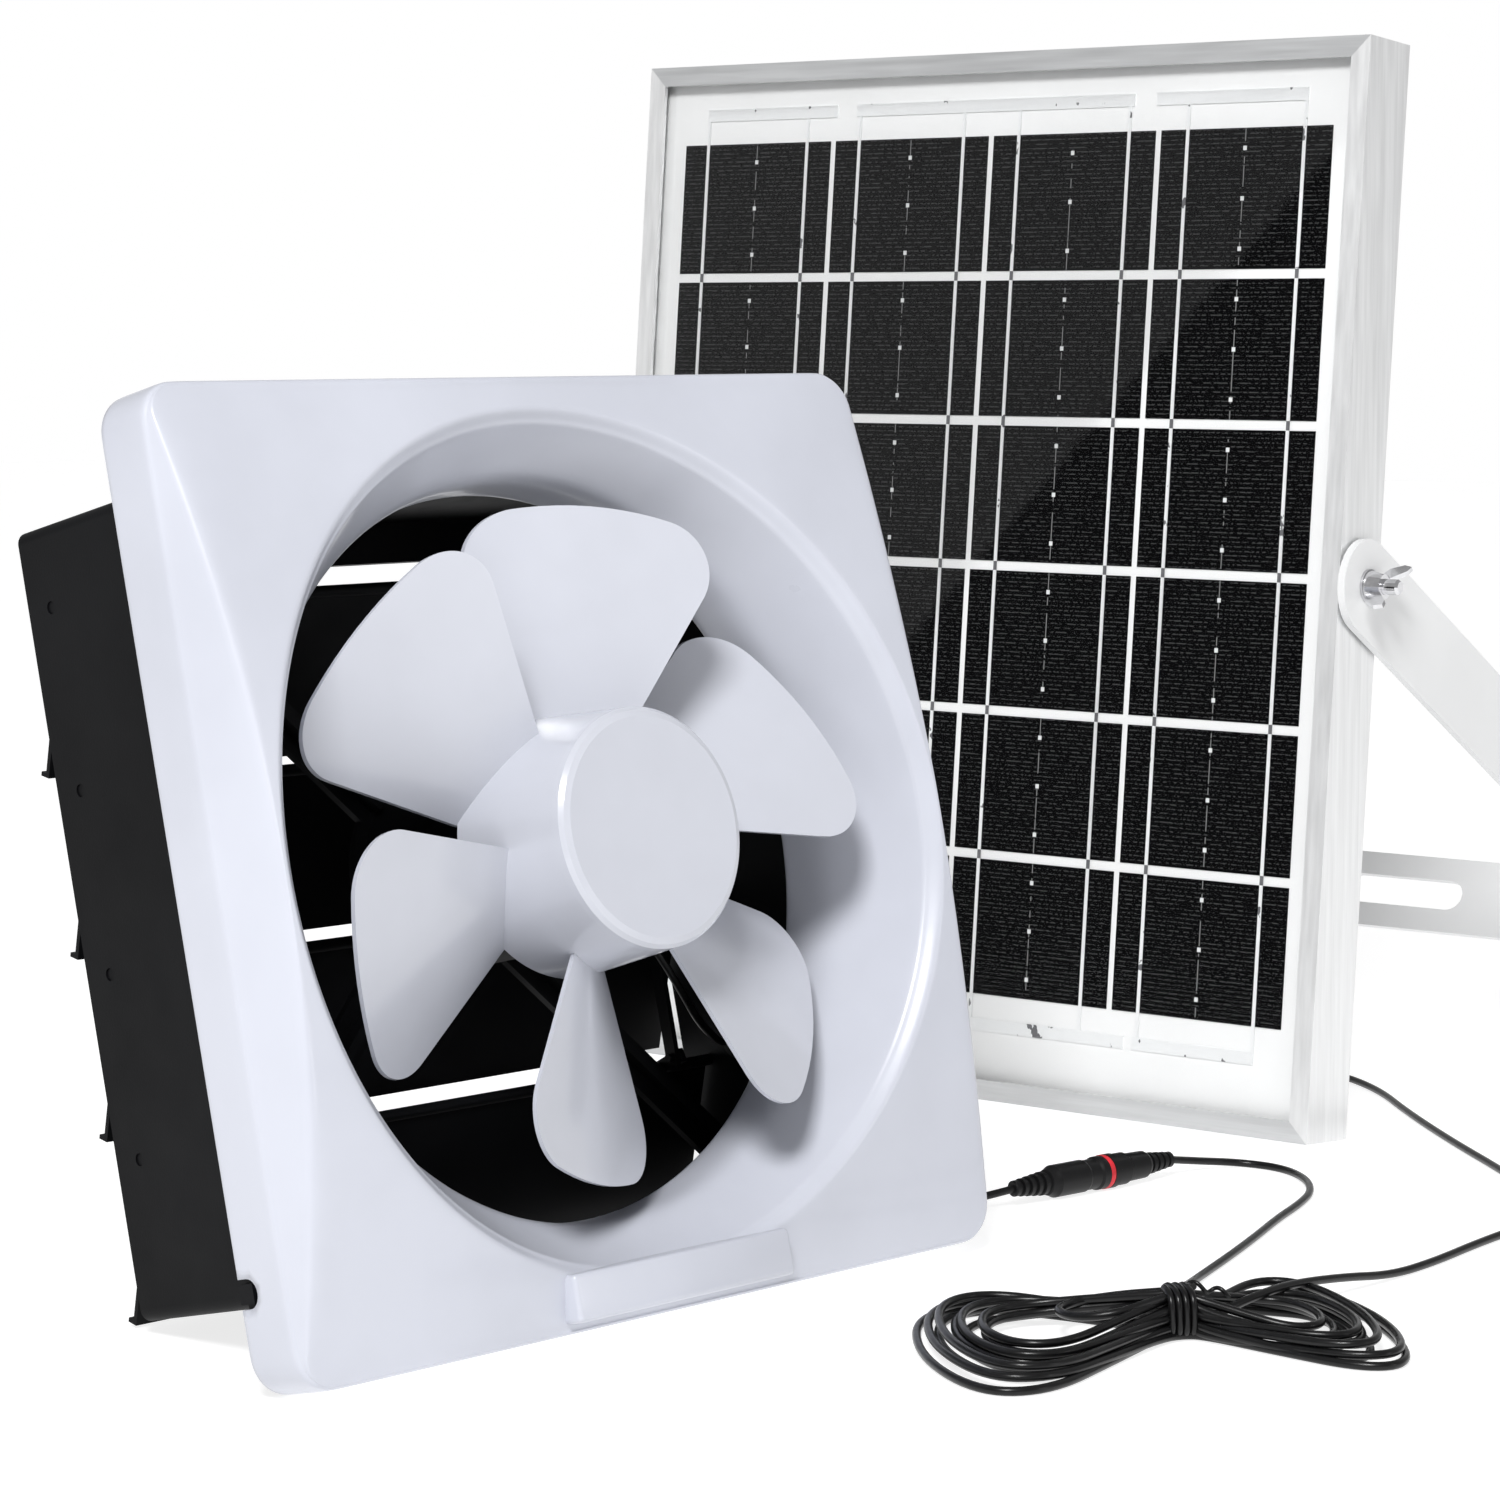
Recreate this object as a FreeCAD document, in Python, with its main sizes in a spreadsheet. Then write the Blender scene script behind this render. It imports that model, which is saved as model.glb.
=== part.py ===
import FreeCAD, Part
import math
import os
import re
import Sketcher

# A solar attic fan kit, in millimetres: a louvred exhaust fan that leans back on its own duct, the
# solar panel that drives it on a U bracket, and the cords that join the two.
# The fan is built about its own axis (x right, y up, z out of its face) and the panel about the middle
# of its bottom rear edge; two placements then stand both on the floor, z = 0.

Vector = FreeCAD.Vector
Rotation = FreeCAD.Rotation
Placement = FreeCAD.Placement

doc = FreeCAD.newDocument("SolarAtticFan")

SIZES = [
    # front cover
    ("cover_size", 300, "cover, across and up"),
    ("cover_rim", 22, "depth of the straight rim"),
    ("cover_bulge", 19, "rise of the arched face above the rim at mid height"),
    ("cover_inset", 8, "how far the side facets lean in over that rise"),
    ("cover_wall", 2.5, "wall"),
    ("cover_corner", 13, "corner radius"),
    ("mouth_radius", 138.5, "bell mouth where it meets the highest part of the face"),
    ("mouth_low_radius", 137, "bell mouth where it meets the face at top and bottom"),
    ("mouth_level", 24, "height of that lower radius"),
    ("throat_top_radius", 119.2, "front end of the straight throat"),
    ("throat_top", 4, "height of that front end"),
    ("throat_radius", 118, "narrow end of the bell"),
    ("throat_depth", 14, "narrow end of the bell behind the cover's rear plane"),
    ("bell_wall", 2.2, "wall of the bell"),
    ("pad_half_width", 47, "flat pad at the foot of the face, half across"),
    ("pad_low", 146.5, "lower edge of the pad below the axis"),
    ("pad_high", 131.5, "upper edge of the pad below the axis"),
    ("pad_level", 30.5, "front of the pad"),
    ("notch_low", 123, "lower edge of the side notches below the axis"),
    ("notch_high", 114, "upper edge of the side notches below the axis"),
    ("notch_depth", 9, "depth of the side notches"),
    # rear frame
    ("duct_size", 250, "duct, outside"),
    ("duct_depth", 84, "duct behind the cover's rear plane"),
    ("duct_wall", 2.5, "wall"),
    ("duct_corner", 4, "corner radius"),
    ("flange_size", 294, "flange that sits inside the cover"),
    ("flange_thickness", 3, "flange"),
    ("wall_screw_half_pitch", 134, "wall screw holes from the axis, across and up"),
    ("wall_screw_hole", 2.25, "radius of the wall screw holes"),
    ("rib_drop", 4.5, "foot ribs below the duct"),
    ("rib_half_pitch", 60, "foot ribs from the middle"),
    ("rib_width", 4, "foot rib"),
    ("back_bar", 13.5, "bar along the top of the duct's back"),
    ("boss_size", 16.5, "corner bosses for the motor bracket"),
    ("boss_level", -55, "rear face of the bosses"),
    # motor and bracket
    ("bracket_thickness", 3, "plate behind the motor"),
    ("bracket_rib_height", 5, "ribs in front of the arms"),
    ("bracket_arm_width", 13, "arms"),
    ("bracket_plate_radius", 36, "plate"),
    ("bracket_screw_pitch", 114.5, "bracket screws from the axis, across and up"),
    ("motor_radius", 32, "motor can"),
    ("motor_front", -6, "front face of the can"),
    ("motor_back", -52, "rear rim of the can"),
    ("motor_skin", 1.2, "sheet of the can"),
    ("end_cap_thickness", 3, "end cap"),
    ("bearing_radius", 8, "bearings, outside"),
    ("bearing_length", 6, "bearings"),
    ("shaft_radius", 4, "motor shaft"),
    ("shaft_play", 0.05, "radial clearance of the shaft in its bearings"),
    ("shaft_tip", 39, "front end of the shaft"),
    ("rotor_radius", 13.4, "magnet rotor"),
    ("tooth_radius", 14.2, "inner ends of the stator teeth"),
    ("stack_front", -14, "front of the stator stack"),
    ("stack_back", -44, "back of the stator stack"),
    # impeller
    ("blade_radius", 109, "impeller, over the blade tips"),
    ("blade_thickness", 1.8, "blades"),
    ("hub_back_radius", 42, "hub, rear rim"),
    ("hub_front_radius", 38.5, "hub, front rim"),
    ("hub_wall", 2.5, "hub wall"),
    ("hub_back", 4, "rear rim of the hub"),
    ("hub_front", 45, "front rim of the hub"),
    ("hub_boss_radius", 9, "boss on the shaft"),
    ("cap_thickness", 4.5, "hub cap in front of the hub's rim"),
    # louvres
    ("flap_pitch", 58, "hinge to hinge"),
    ("flap_top_hinge", 99, "top hinge above the axis"),
    ("flap_hinge_level", -72, "hinges behind the cover's rear plane"),
    ("flap_length", 55.5, "flap below its hinge"),
    ("flap_half_width", 120.5, "flap, half across"),
    ("flap_thickness", 1.6, "flap"),
    ("flap_pin_radius", 2, "hinge pins"),
    ("flap_pin_play", 0.05, "radial clearance of the hinge pins"),
    ("flap_open_angle", 24, "opening at which the flaps stand"),
    ("crank_length", 10, "hinge to link pin"),
    ("crank_angle", 40, "crank ahead of the flap's normal"),
    ("crank_side", 98, "cranks, to the right of the axis"),
    ("crank_thickness", 2.6, "cranks"),
    ("link_pin_radius", 1.5, "link pins"),
    ("link_pin_play", 0.06, "radial clearance of the link pins"),
    ("link_thickness", 2, "link bar"),
    ("link_width", 5, "link bar"),
    # solar panel
    ("panel_width", 350, "frame, across"),
    ("panel_height", 420, "frame, up"),
    ("panel_depth", 30, "frame, front to back"),
    ("rail_wall", 1.6, "rail, outer wall"),
    ("rail_lip", 8, "front lip and glass shelf"),
    ("rail_flange", 14, "rear flange"),
    ("rail_sheet", 1.5, "lip, shelf and flange"),
    ("glass_level", 24.9, "rear face of the glass"),
    ("glass_thickness", 3.2, "glass"),
    ("glass_gap", 2, "glass edge inside the rail's outer face"),
    ("cell_width", 77, "solar cell"),
    ("cell_height", 54.4, "solar cell"),
    ("cell_gap_across", 2.6, "between columns"),
    ("cell_gap_up", 3.8, "between rows"),
    ("cells_bottom", 41.8, "lowest cell edge above the frame's bottom"),
    ("cell_thickness", 0.3, "solar cell"),
    ("ribbon_width", 1.5, "cell ribbon"),
    ("ribbon_thickness", 0.2, "cell ribbon"),
    ("ribbon_pitch", 52.5, "the two ribbons of a column"),
    ("bus_width", 5, "cross strips"),
    ("bus_top", 399.5, "upper cross strips above the frame's bottom"),
    ("bus_bottom", 29.5, "lower cross strips above the frame's bottom"),
    ("box_width", 96, "junction box"),
    ("box_height", 62, "junction box"),
    ("box_bottom", 322, "junction box above the frame's bottom"),
    ("box_back", 6, "rear rim of the junction box"),
    ("box_wall", 2, "junction box"),
    ("post_inset", 2.4, "screw posts from the box's inner walls"),
    ("gland_side", 24, "cable gland right of the middle"),
    ("gland_level", 14, "cable gland above the frame's rear plane"),
    # bracket
    ("pivot_height", 213, "pivot bolts above the frame's bottom"),
    ("pivot_level", 15, "pivot bolts above the frame's rear plane"),
    ("bolt_radius", 3, "pivot bolts"),
    ("bolt_play", 0.06, "radial clearance on the pivot bolts"),
    ("strip_width", 36, "bracket strip"),
    ("strip_thickness", 3, "bracket strip"),
    ("strip_gap", 1.1, "bracket arm off the frame's side"),
    ("arm_length", 319, "pivot to crossbar"),
    ("arm_angle", 25, "arms below the panel's normal"),
    ("bend_radius", 4, "inside of the bracket's bends"),
    ("slot_radius", 7, "half width of the crossbar slots"),
    ("slot_inner", 14, "inner end of the slots from the middle"),
    ("slot_outer", 74, "outer end of the slots from the middle"),
    ("wall_hole_radius", 4.5, "round mounting holes in the crossbar"),
    ("wall_hole_half_pitch", 110, "round mounting holes from the middle"),
    # cords
    ("cord_radius", 1.4, "cords"),
]

sheet = doc.addObject("Spreadsheet::Sheet", "Dimensions")
for row, (alias, number, note) in enumerate(SIZES, start=1):
    sheet.set(f"A{row}", alias)
    sheet.set(f"B{row}", str(number))
    sheet.set(f"C{row}", note)
    sheet.setAlias(f"B{row}", alias)
doc.recompute()
size = {alias: float(sheet.get(alias)) for alias, number, note in SIZES}


# ---------------------------------------------------------------- helpers
def link(expression):
    """Point each alias in an expression at its cell of the sheet."""
    return re.sub(
        r"[a-z][a-z0-9_]*",
        lambda word: f"Dimensions.{word.group(0)}" if word.group(0) in size else word.group(0),
        str(expression),
    )


def bind(item, **expressions):
    for name, expression in expressions.items():
        item.setExpression(name, link(expression))
    return item


def move(item, x=0, y=0, z=0):
    """Bind an object's place to the sheet."""
    for axis, expression in zip("xyz", (x, y, z)):
        item.setExpression(f"Placement.Base.{axis}", link(expression))
    return item


def box(name, low, high):
    item = doc.addObject("Part::Box", name)
    spans = [f"({top}) - ({bottom})" for bottom, top in zip(low, high)]
    bind(item, Length=spans[0], Width=spans[1], Height=spans[2])
    return move(item, *low)


AXES = {"X": Rotation(Vector(0, 1, 0), 90), "Y": Rotation(Vector(1, 0, 0), -90), "Z": Rotation()}


def rod(name, radius, start, length, axis="Z"):
    """A cylinder from the point start along +axis."""
    item = doc.addObject("Part::Cylinder", name)
    item.Placement = Placement(Vector(), AXES[axis])
    bind(item, Radius=radius, Height=length)
    return move(item, *start)


def cut(name, base, *tools):
    item = doc.addObject("Part::Cut", name)
    item.Base = base
    item.Tool = tools[0] if len(tools) == 1 else fuse(f"{name}_tools", *tools)
    return item


def fuse(name, *shapes):
    item = doc.addObject("Part::MultiFuse", name)
    item.Shapes = list(shapes)
    return item


def common(name, *shapes):
    item = doc.addObject("Part::MultiCommon", name)
    item.Shapes = list(shapes)
    return item


def group(name, *shapes):
    """Several separate solids under one name."""
    item = doc.addObject("Part::Compound", name)
    item.Links = list(shapes)
    return item


def placed(name, shape, place):
    item = group(name, shape)
    item.Placement = place
    return item


SKETCH_SPREAD = 50.0


def around(name, shape, count, first=0.0):
    """Copies of a shape, evenly spaced about z."""
    turns = [Rotation(Vector(0, 0, 1), first + i * 360.0 / count) for i in range(count)]
    return [placed(f"{name}_{i + 1}", shape, Placement(Vector(), turn)) for i, turn in enumerate(turns)]


def outline(body, plane, points, start=0):
    """A closed sketch of straight lines whose corners are bound to the sheet."""
    sketch = body.newObject("Sketcher::SketchObject", f"{body.Name}_sketch")
    role = f"{plane}_Plane"
    origin_plane = [item for item in body.Origin.OriginFeatures if item.Role == role][0]
    sketch.AttachmentSupport = [(origin_plane, "")]
    sketch.MapMode = "FlatFace"
    count = len(points)
    angles = [i * math.tau / count for i in range(count)]
    ring = [Vector(SKETCH_SPREAD * math.cos(angle), SKETCH_SPREAD * math.sin(angle), 0) for angle in angles]
    for i in range(count):
        sketch.addGeometry(Part.LineSegment(ring[i], ring[(i + 1) % count]), False)
    for i in range(count):
        sketch.addConstraint(Sketcher.Constraint("Coincident", i, 2, (i + 1) % count, 1))
    for i, corner in enumerate(points):
        for kind, expression in zip(("DistanceX", "DistanceY"), corner):
            index = sketch.addConstraint(Sketcher.Constraint(kind, -1, 1, i, 1, 10.0))
            sketch.setExpression(f"Constraints[{index}]", link(expression))
    sketch.setExpression(".AttachmentOffset.Base.z", link(start))
    return sketch


def padded(name, plane, points, start, length):
    """A body whose outline is padded along the plane's normal (XY: +z, YZ: +x, XZ: -y)."""
    body = doc.addObject("PartDesign::Body", name)
    sketch = outline(body, plane, points, start)
    pad = body.newObject("PartDesign::Pad", f"{name}_pad")
    pad.Profile = sketch
    bind(pad, Length=length)
    return body


def turned(name, points):
    """A body turned about z from corners given as (radius, z)."""
    body = doc.addObject("PartDesign::Body", name)
    sketch = outline(body, "XZ", points)
    revolution = body.newObject("PartDesign::Revolution", f"{name}_revolution")
    revolution.Profile = sketch
    revolution.ReferenceAxis = (sketch, ["V_Axis"])
    revolution.Angle = 360
    return body


def rounded(body, radius, direction=Vector(0, 0, 1), keep=None):
    """Round the body's straight edges that run along direction and that keep() accepts."""
    doc.recompute()
    base = body.Tip
    names = []
    for i, edge in enumerate(base.Shape.Edges, start=1):
        if edge.Curve.TypeId != "Part::GeomLine":
            continue
        if abs(edge.tangentAt(edge.FirstParameter).dot(direction)) < 0.999:
            continue
        if keep is None or keep(edge.CenterOfMass):
            names.append(f"Edge{i}")
    fillet = body.newObject("PartDesign::Fillet", f"{body.Name}_fillet")
    fillet.Base = (base, names)
    bind(fillet, Radius=radius)
    return body


def square(name, half, corner, low, high):
    """A square prism about z with rounded corners."""
    points = [(f"-({half})", f"-({half})"), (half, f"-({half})"), (half, half), (f"-({half})", half)]
    body = padded(name, "XY", points, low, f"({high}) - ({low})")
    return rounded(body, corner)


def feature(name, shape):
    """A solid made with Part's own functions, where no primitive or body fits."""
    item = doc.addObject("Part::Feature", name)
    item.Shape = shape
    return item


# ---------------------------------------------------------------- where the two halves stand
# The fan rests on the cover's bottom rear edge and on its two foot ribs.
FAN_FOOT = Vector(140.0, -264.0, 0)
FAN_YAW = 83.3
foot_reach = size["duct_size"] / 2 + size["rib_drop"]
FAN_LEAN = math.degrees(math.atan((size["cover_size"] / 2 - foot_reach) / size["duct_depth"]))
fan_turn = Rotation(Vector(0, 0, 1), FAN_YAW).multiply(Rotation(Vector(1, 0, 0), 90 - FAN_LEAN))
fan_place = Placement(FAN_FOOT + fan_turn.multVec(Vector(0, size["cover_size"] / 2, 0)), fan_turn)

# The panel stands on its bottom rear edge and leans back.
PANEL_FOOT = Vector(0.0, 126.0, 0)
PANEL_LEAN = 5.0
panel_turn = Rotation(Vector(1, 0, 0), 90 - PANEL_LEAN)
panel_place = Placement(PANEL_FOOT, panel_turn)

nodes = {}


def keep_node(name, *items, place=Placement()):
    """Register a sub-part: its label is its file name, and its placement stands it in the row frame."""
    single = len(items) == 1 and items[0].TypeId not in ("Part::Box", "Part::Cylinder")
    item = items[0] if single else group(f"{name}_set", *items)
    item.Label = name
    item.Placement = place
    nodes[name] = item


CORD_NODES = [
    "fan_lead",
    "fan_lead_connector",
    "connector_seal",
    "panel_cord_connector",
    "panel_cord_front",
    "panel_cord_hank",
    "hank_tie",
    "panel_cord_rear",
]

# ---------------------------------------------------------------- front cover
def dome(name, inset):
    """The arched cover block, with every face moved inwards by inset; open at the back."""
    half = f"cover_size/2 - {inset}"
    top = "cover_rim + cover_bulge"
    prism = square(
        f"{name}_prism",
        half,
        f"cover_corner - {inset}",
        "-1" if inset != "0" else "0",
        f"{top} + 2",
    )
    radius = "((cover_size/2)^2 + cover_bulge^2) / (2*cover_bulge)"
    arch = rod(
        f"{name}_arch",
        f"{radius} - {inset}",
        ("-cover_size", "0", f"{top} - {radius}"),
        "2*cover_size",
        "X",
    )
    low = f"cover_rim - {inset}"
    high = f"{top} - {inset}"
    facets = padded(
        f"{name}_facets",
        "XZ",
        [
            (f"-({half})", "-2"),
            (half, "-2"),
            (half, low),
            (f"{half} - cover_inset", high),
            (f"{half} - cover_inset - 0.42*4", f"{high} + 4"),
            (f"-({half} - cover_inset - 0.42*4)", f"{high} + 4"),
            (f"-({half} - cover_inset)", high),
            (f"-({half})", low),
        ],
        "-cover_size",
        "2*cover_size",
    )
    return common(name, prism, arch, facets), arch


dome_outside, face_arch = dome("dome_outside", "0")
dome_inside, inner_arch = dome("dome_inside", "cover_wall")
dome_shell = cut("dome_shell", dome_outside, dome_inside)
mouth_cut = rod("mouth_cut", "mouth_radius + 0.3", ("0", "0", "-1"), "cover_rim + cover_bulge + 4")
bell = turned(
    "bell",
    [
        ("throat_radius", "-throat_depth"),
        ("throat_radius + bell_wall", "-throat_depth"),
        ("throat_top_radius + bell_wall", "throat_top"),
        ("mouth_low_radius + bell_wall", "mouth_level - 1"),
        ("mouth_radius + bell_wall", "cover_rim + cover_bulge + 1"),
        ("mouth_radius", "cover_rim + cover_bulge + 1"),
        ("mouth_low_radius", "mouth_level"),
        ("throat_top_radius", "throat_top"),
    ],
)
bell_trimmed = common("bell_trimmed", bell, face_arch)
pad = box("foot_pad", ("-pad_half_width", "-pad_low", "16"), ("pad_half_width", "-pad_high", "pad_level"))
cover_whole = fuse("cover_whole", cut("dome_open", dome_shell, mouth_cut), bell_trimmed, pad)


def notch(side):
    """A round-ended notch in a side wall, where a hook of the rear frame shows."""
    name = "right" if side > 0 else "left"
    ends = ("cover_size/2 - cover_wall - 1", "cover_size/2 + 1")
    low, high = ends if side > 0 else (f"-({ends[1]})", f"-({ends[0]})")
    half = "(notch_low - notch_high)/2"
    slot = box(f"notch_{name}", (low, "-notch_low", "-1"), (high, "-notch_high", f"notch_depth - {half}"))
    end = rod(f"notch_end_{name}", half, (low, "-(notch_low + notch_high)/2", f"notch_depth - {half}"),
              "cover_wall + 2", "X")
    return [slot, end]


keep_node("front_cover", cut("cover_notched", cover_whole, *notch(-1), *notch(1)), place=fan_place)


# ---------------------------------------------------------------- rear frame: flange and duct
def hinge_height(index):
    return f"(flap_top_hinge - {index}*flap_pitch)"


def corner_post(name, across, up):
    """A square post in a corner of the duct, for one bracket screw."""
    low = ["duct_size/2 - duct_wall - boss_size", "duct_size/2 - duct_wall + 0.5"]
    spans = [low if sign > 0 else [f"-({low[1]})", f"-({low[0]})"] for sign in (across, up)]
    return box(name, (spans[0][0], spans[1][0], "boss_level"), (spans[0][1], spans[1][1], "-20"))


CORNERS = [(-1, -1), (1, -1), (1, 1), (-1, 1)]
duct = cut(
    "duct",
    fuse(
        "duct_and_flange",
        square("duct_outside", "duct_size/2", "duct_corner", "-duct_depth", "flange_thickness"),
        square("flange", "flange_size/2", "cover_corner - cover_wall", "0", "flange_thickness"),
        *[
            box(
                f"foot_rib_{index + 1}",
                (f"{side}*rib_half_pitch - rib_width/2", "-(duct_size/2 + rib_drop)", "-duct_depth"),
                (f"{side}*rib_half_pitch + rib_width/2", "-duct_size/2 + 1", "-40"),
            )
            for index, side in enumerate((-1, 1))
        ],
    ),
    square(
        "duct_inside",
        "duct_size/2 - duct_wall",
        "duct_corner - duct_wall + 0.5",
        "-duct_depth - 1",
        "5",
    ),
)
hook_low = "-(notch_low - 1.5)"
hook_high = "-(notch_high + 1.5)"
frame_solid = fuse(
    "frame_solid",
    duct,
    *[corner_post(f"corner_post_{index + 1}", *signs) for index, signs in enumerate(CORNERS)],
    box(
        "back_bar_box",
        ("-(duct_size/2 - duct_wall/2)", "duct_size/2 - duct_wall - back_bar", "-duct_depth"),
        ("duct_size/2 - duct_wall/2", "duct_size/2 - duct_wall/2", "-duct_depth + 2.5"),
    ),
    box("hook_right", ("flange_size/2 - 2", hook_low, "0"), ("cover_size/2 - 0.4", hook_high, "6.5")),
    box("hook_left", ("-(cover_size/2 - 0.4)", hook_low, "0"), ("-(flange_size/2 - 2)", hook_high, "6.5")),
)
frame_holes = []
for index, (across, up) in enumerate(CORNERS):
    frame_holes.append(
        rod(
            f"wall_hole_{index + 1}",
            "wall_screw_hole",
            (f"{across}*wall_screw_half_pitch", f"{up}*wall_screw_half_pitch", "-1"),
            "flange_thickness + 2",
        )
    )
    frame_holes.append(
        rod(
            f"post_hole_{index + 1}",
            "1.5",
            (f"{across}*bracket_screw_pitch", f"{up}*bracket_screw_pitch", "boss_level - 1"),
            "13",
        )
    )
for index in range(4):
    frame_holes.append(
        rod(
            f"hinge_hole_{index + 1}",
            "flap_pin_radius + flap_pin_play",
            ("-duct_size", hinge_height(index), "flap_hinge_level"),
            "2*duct_size",
            "X",
        )
    )
LEAD_UP = -70
LEAD_LEVEL = -56
frame_holes.append(rod("lead_hole", "4", ("duct_size/2 - 6", LEAD_UP, LEAD_LEVEL), "12", "X"))
keep_node("rear_frame", cut("frame_drilled", frame_solid, *frame_holes), place=fan_place)


# ---------------------------------------------------------------- bracket that carries the motor
def spoke(name, low, high):
    """Four copies of a box that lies along x, turned on to the diagonals."""
    return around(name, box(f"{name}_bar", low, high), 4, first=45.0)


plate_level = "(boss_level - bracket_thickness)"
bracket_blank = common(
    "bracket_blank",
    fuse(
        "bracket_star",
        rod("bracket_plate", "bracket_plate_radius", ("0", "0", plate_level), "bracket_thickness"),
        *spoke(
            "arm",
            ("25", "-bracket_arm_width/2", plate_level),
            ("175", "bracket_arm_width/2", "boss_level"),
        ),
        *spoke(
            "arm_rib",
            ("34", "-1.5", "boss_level - 0.5"),
            ("145", "1.5", "boss_level + bracket_rib_height"),
        ),
    ),
    square("bracket_edge", "duct_size/2 - duct_wall - 0.6", "4", "-100", "0"),
)
motor_seat = rod("motor_seat", "motor_radius + 0.6", ("0", "0", "boss_level"), "20")
bracket_holes = [rod("bearing_relief", "9", ("0", "0", "boss_level - 5"), "10")]
for index, (across, up) in enumerate(CORNERS):
    place = (f"{across}*bracket_screw_pitch", f"{up}*bracket_screw_pitch", "boss_level - 10")
    bracket_holes.append(rod(f"bracket_hole_{index + 1}", "1.8", place, "20"))
MOTOR_SCREW_CIRCLE = 24
motor_screw_hole = rod("motor_screw_hole", "1.6", (MOTOR_SCREW_CIRCLE, "0", "boss_level - 10"), "20")
bracket_holes += around("motor_screw_holes", motor_screw_hole, 3, first=90.0)
keep_node(
    "motor_bracket",
    cut("bracket_drilled", bracket_blank, motor_seat, *bracket_holes),
    place=fan_place,
)


def pan_screw(name, shank, length, head, x, y, seat, point=1):
    """A pan-head screw under the plane z = seat, its shank running towards +z (or -z if point is -1)."""
    height = 0.6 * head
    if point > 0:
        body = rod(f"{name}_shank", shank, (x, y, f"({seat}) - 0.5"), length + 0.5)
        cap = rod(f"{name}_head", head, (x, y, f"({seat}) - {height}"), height)
    else:
        body = rod(f"{name}_shank", shank, (x, y, f"({seat}) - {length}"), length + 0.5)
        cap = rod(f"{name}_head", head, (x, y, seat), height)
    cross = f"({seat}) - {height + 0.1}" if point > 0 else f"({seat}) + {height - 0.9}"
    recess = box(
        f"{name}_recess",
        (f"({x}) - {0.6 * head}", f"({y}) - 0.4", cross),
        (f"({x}) + {0.6 * head}", f"({y}) + 0.4", f"({cross}) + 1"),
    )
    return cut(name, fuse(f"{name}_blank", body, cap), recess)


bracket_screws = [
    pan_screw(
        f"bracket_screw_{index + 1}",
        1.5,
        14,
        3.4,
        f"{across}*bracket_screw_pitch",
        f"{up}*bracket_screw_pitch",
        plate_level,
    )
    for index, (across, up) in enumerate(CORNERS)
]
keep_node("bracket_screws", *bracket_screws, place=fan_place)
motor_screw = pan_screw("motor_screw", 1.55, 5.5, 2.8, MOTOR_SCREW_CIRCLE, 0, plate_level)
keep_node("motor_screws", *around("motor_screw_copies", motor_screw, 3, first=90.0), place=fan_place)

# ---------------------------------------------------------------- motor
seat_radius = "bearing_radius"
can = turned(
    "can",
    [
        ("motor_radius - motor_skin", "motor_back"),
        ("motor_radius", "motor_back"),
        ("motor_radius", "motor_front"),
        ("5.5", "motor_front"),
        ("5.5", "motor_front - motor_skin"),
        (seat_radius, "motor_front - motor_skin"),
        (seat_radius, "motor_front - motor_skin - bearing_length"),
        (f"{seat_radius} + 1.2", "motor_front - motor_skin - bearing_length"),
        (f"{seat_radius} + 1.2", "motor_front - motor_skin"),
        ("motor_radius - motor_skin", "motor_front - motor_skin"),
    ],
)
lead_slot = rod("lead_slot", "2", ("motor_radius - 4", "0", "motor_back + 4"), "8", "X")
keep_node("motor_housing", cut("can_slotted", can, lead_slot), place=fan_place)
end_cap = turned(
    "end_cap",
    [
        ("0", "motor_back - end_cap_thickness"),
        ("motor_radius", "motor_back - end_cap_thickness"),
        ("motor_radius", "motor_back"),
        ("motor_radius - motor_skin", "motor_back"),
        ("motor_radius - motor_skin", "motor_back + 1.5"),
        ("motor_radius - motor_skin - 1.5", "motor_back + 1.5"),
        ("motor_radius - motor_skin - 1.5", "motor_back"),
        (f"{seat_radius} + 1.2", "motor_back"),
        (f"{seat_radius} + 1.2", "motor_back + bearing_length"),
        (seat_radius, "motor_back + bearing_length"),
        (seat_radius, "motor_back"),
        ("5.5", "motor_back"),
        ("5.5", "motor_back - 2"),
        ("0", "motor_back - 2"),
    ],
)
cap_screw_hole = rod("cap_screw_hole", "1.55", (MOTOR_SCREW_CIRCLE, "0", "motor_back - 5"), "8")
cap_holes = around("cap_screw_holes", cap_screw_hole, 3, first=90.0)
keep_node("motor_end_cap", cut("end_cap_drilled", end_cap, *cap_holes), place=fan_place)


def bearing(name, low):
    """A ball bearing: outer and inner rings, and the shield between them a little lower."""
    high = f"({low}) + bearing_length"
    bore = "shaft_radius + shaft_play"
    return turned(
        name,
        [
            (bore, low),
            ("shaft_radius + 1.2", low),
            ("shaft_radius + 1.2", f"({low}) + 0.4"),
            ("bearing_radius - 1", f"({low}) + 0.4"),
            ("bearing_radius - 1", low),
            ("bearing_radius", low),
            ("bearing_radius", high),
            ("bearing_radius - 1", high),
            ("bearing_radius - 1", f"({high}) - 0.4"),
            ("shaft_radius + 1.2", f"({high}) - 0.4"),
            ("shaft_radius + 1.2", high),
            (bore, high),
        ],
    )


keep_node(
    "front_bearing",
    bearing("bearing_front", "motor_front - motor_skin - bearing_length"),
    place=fan_place,
)
keep_node("rear_bearing", bearing("bearing_rear", "motor_back"), place=fan_place)

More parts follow.
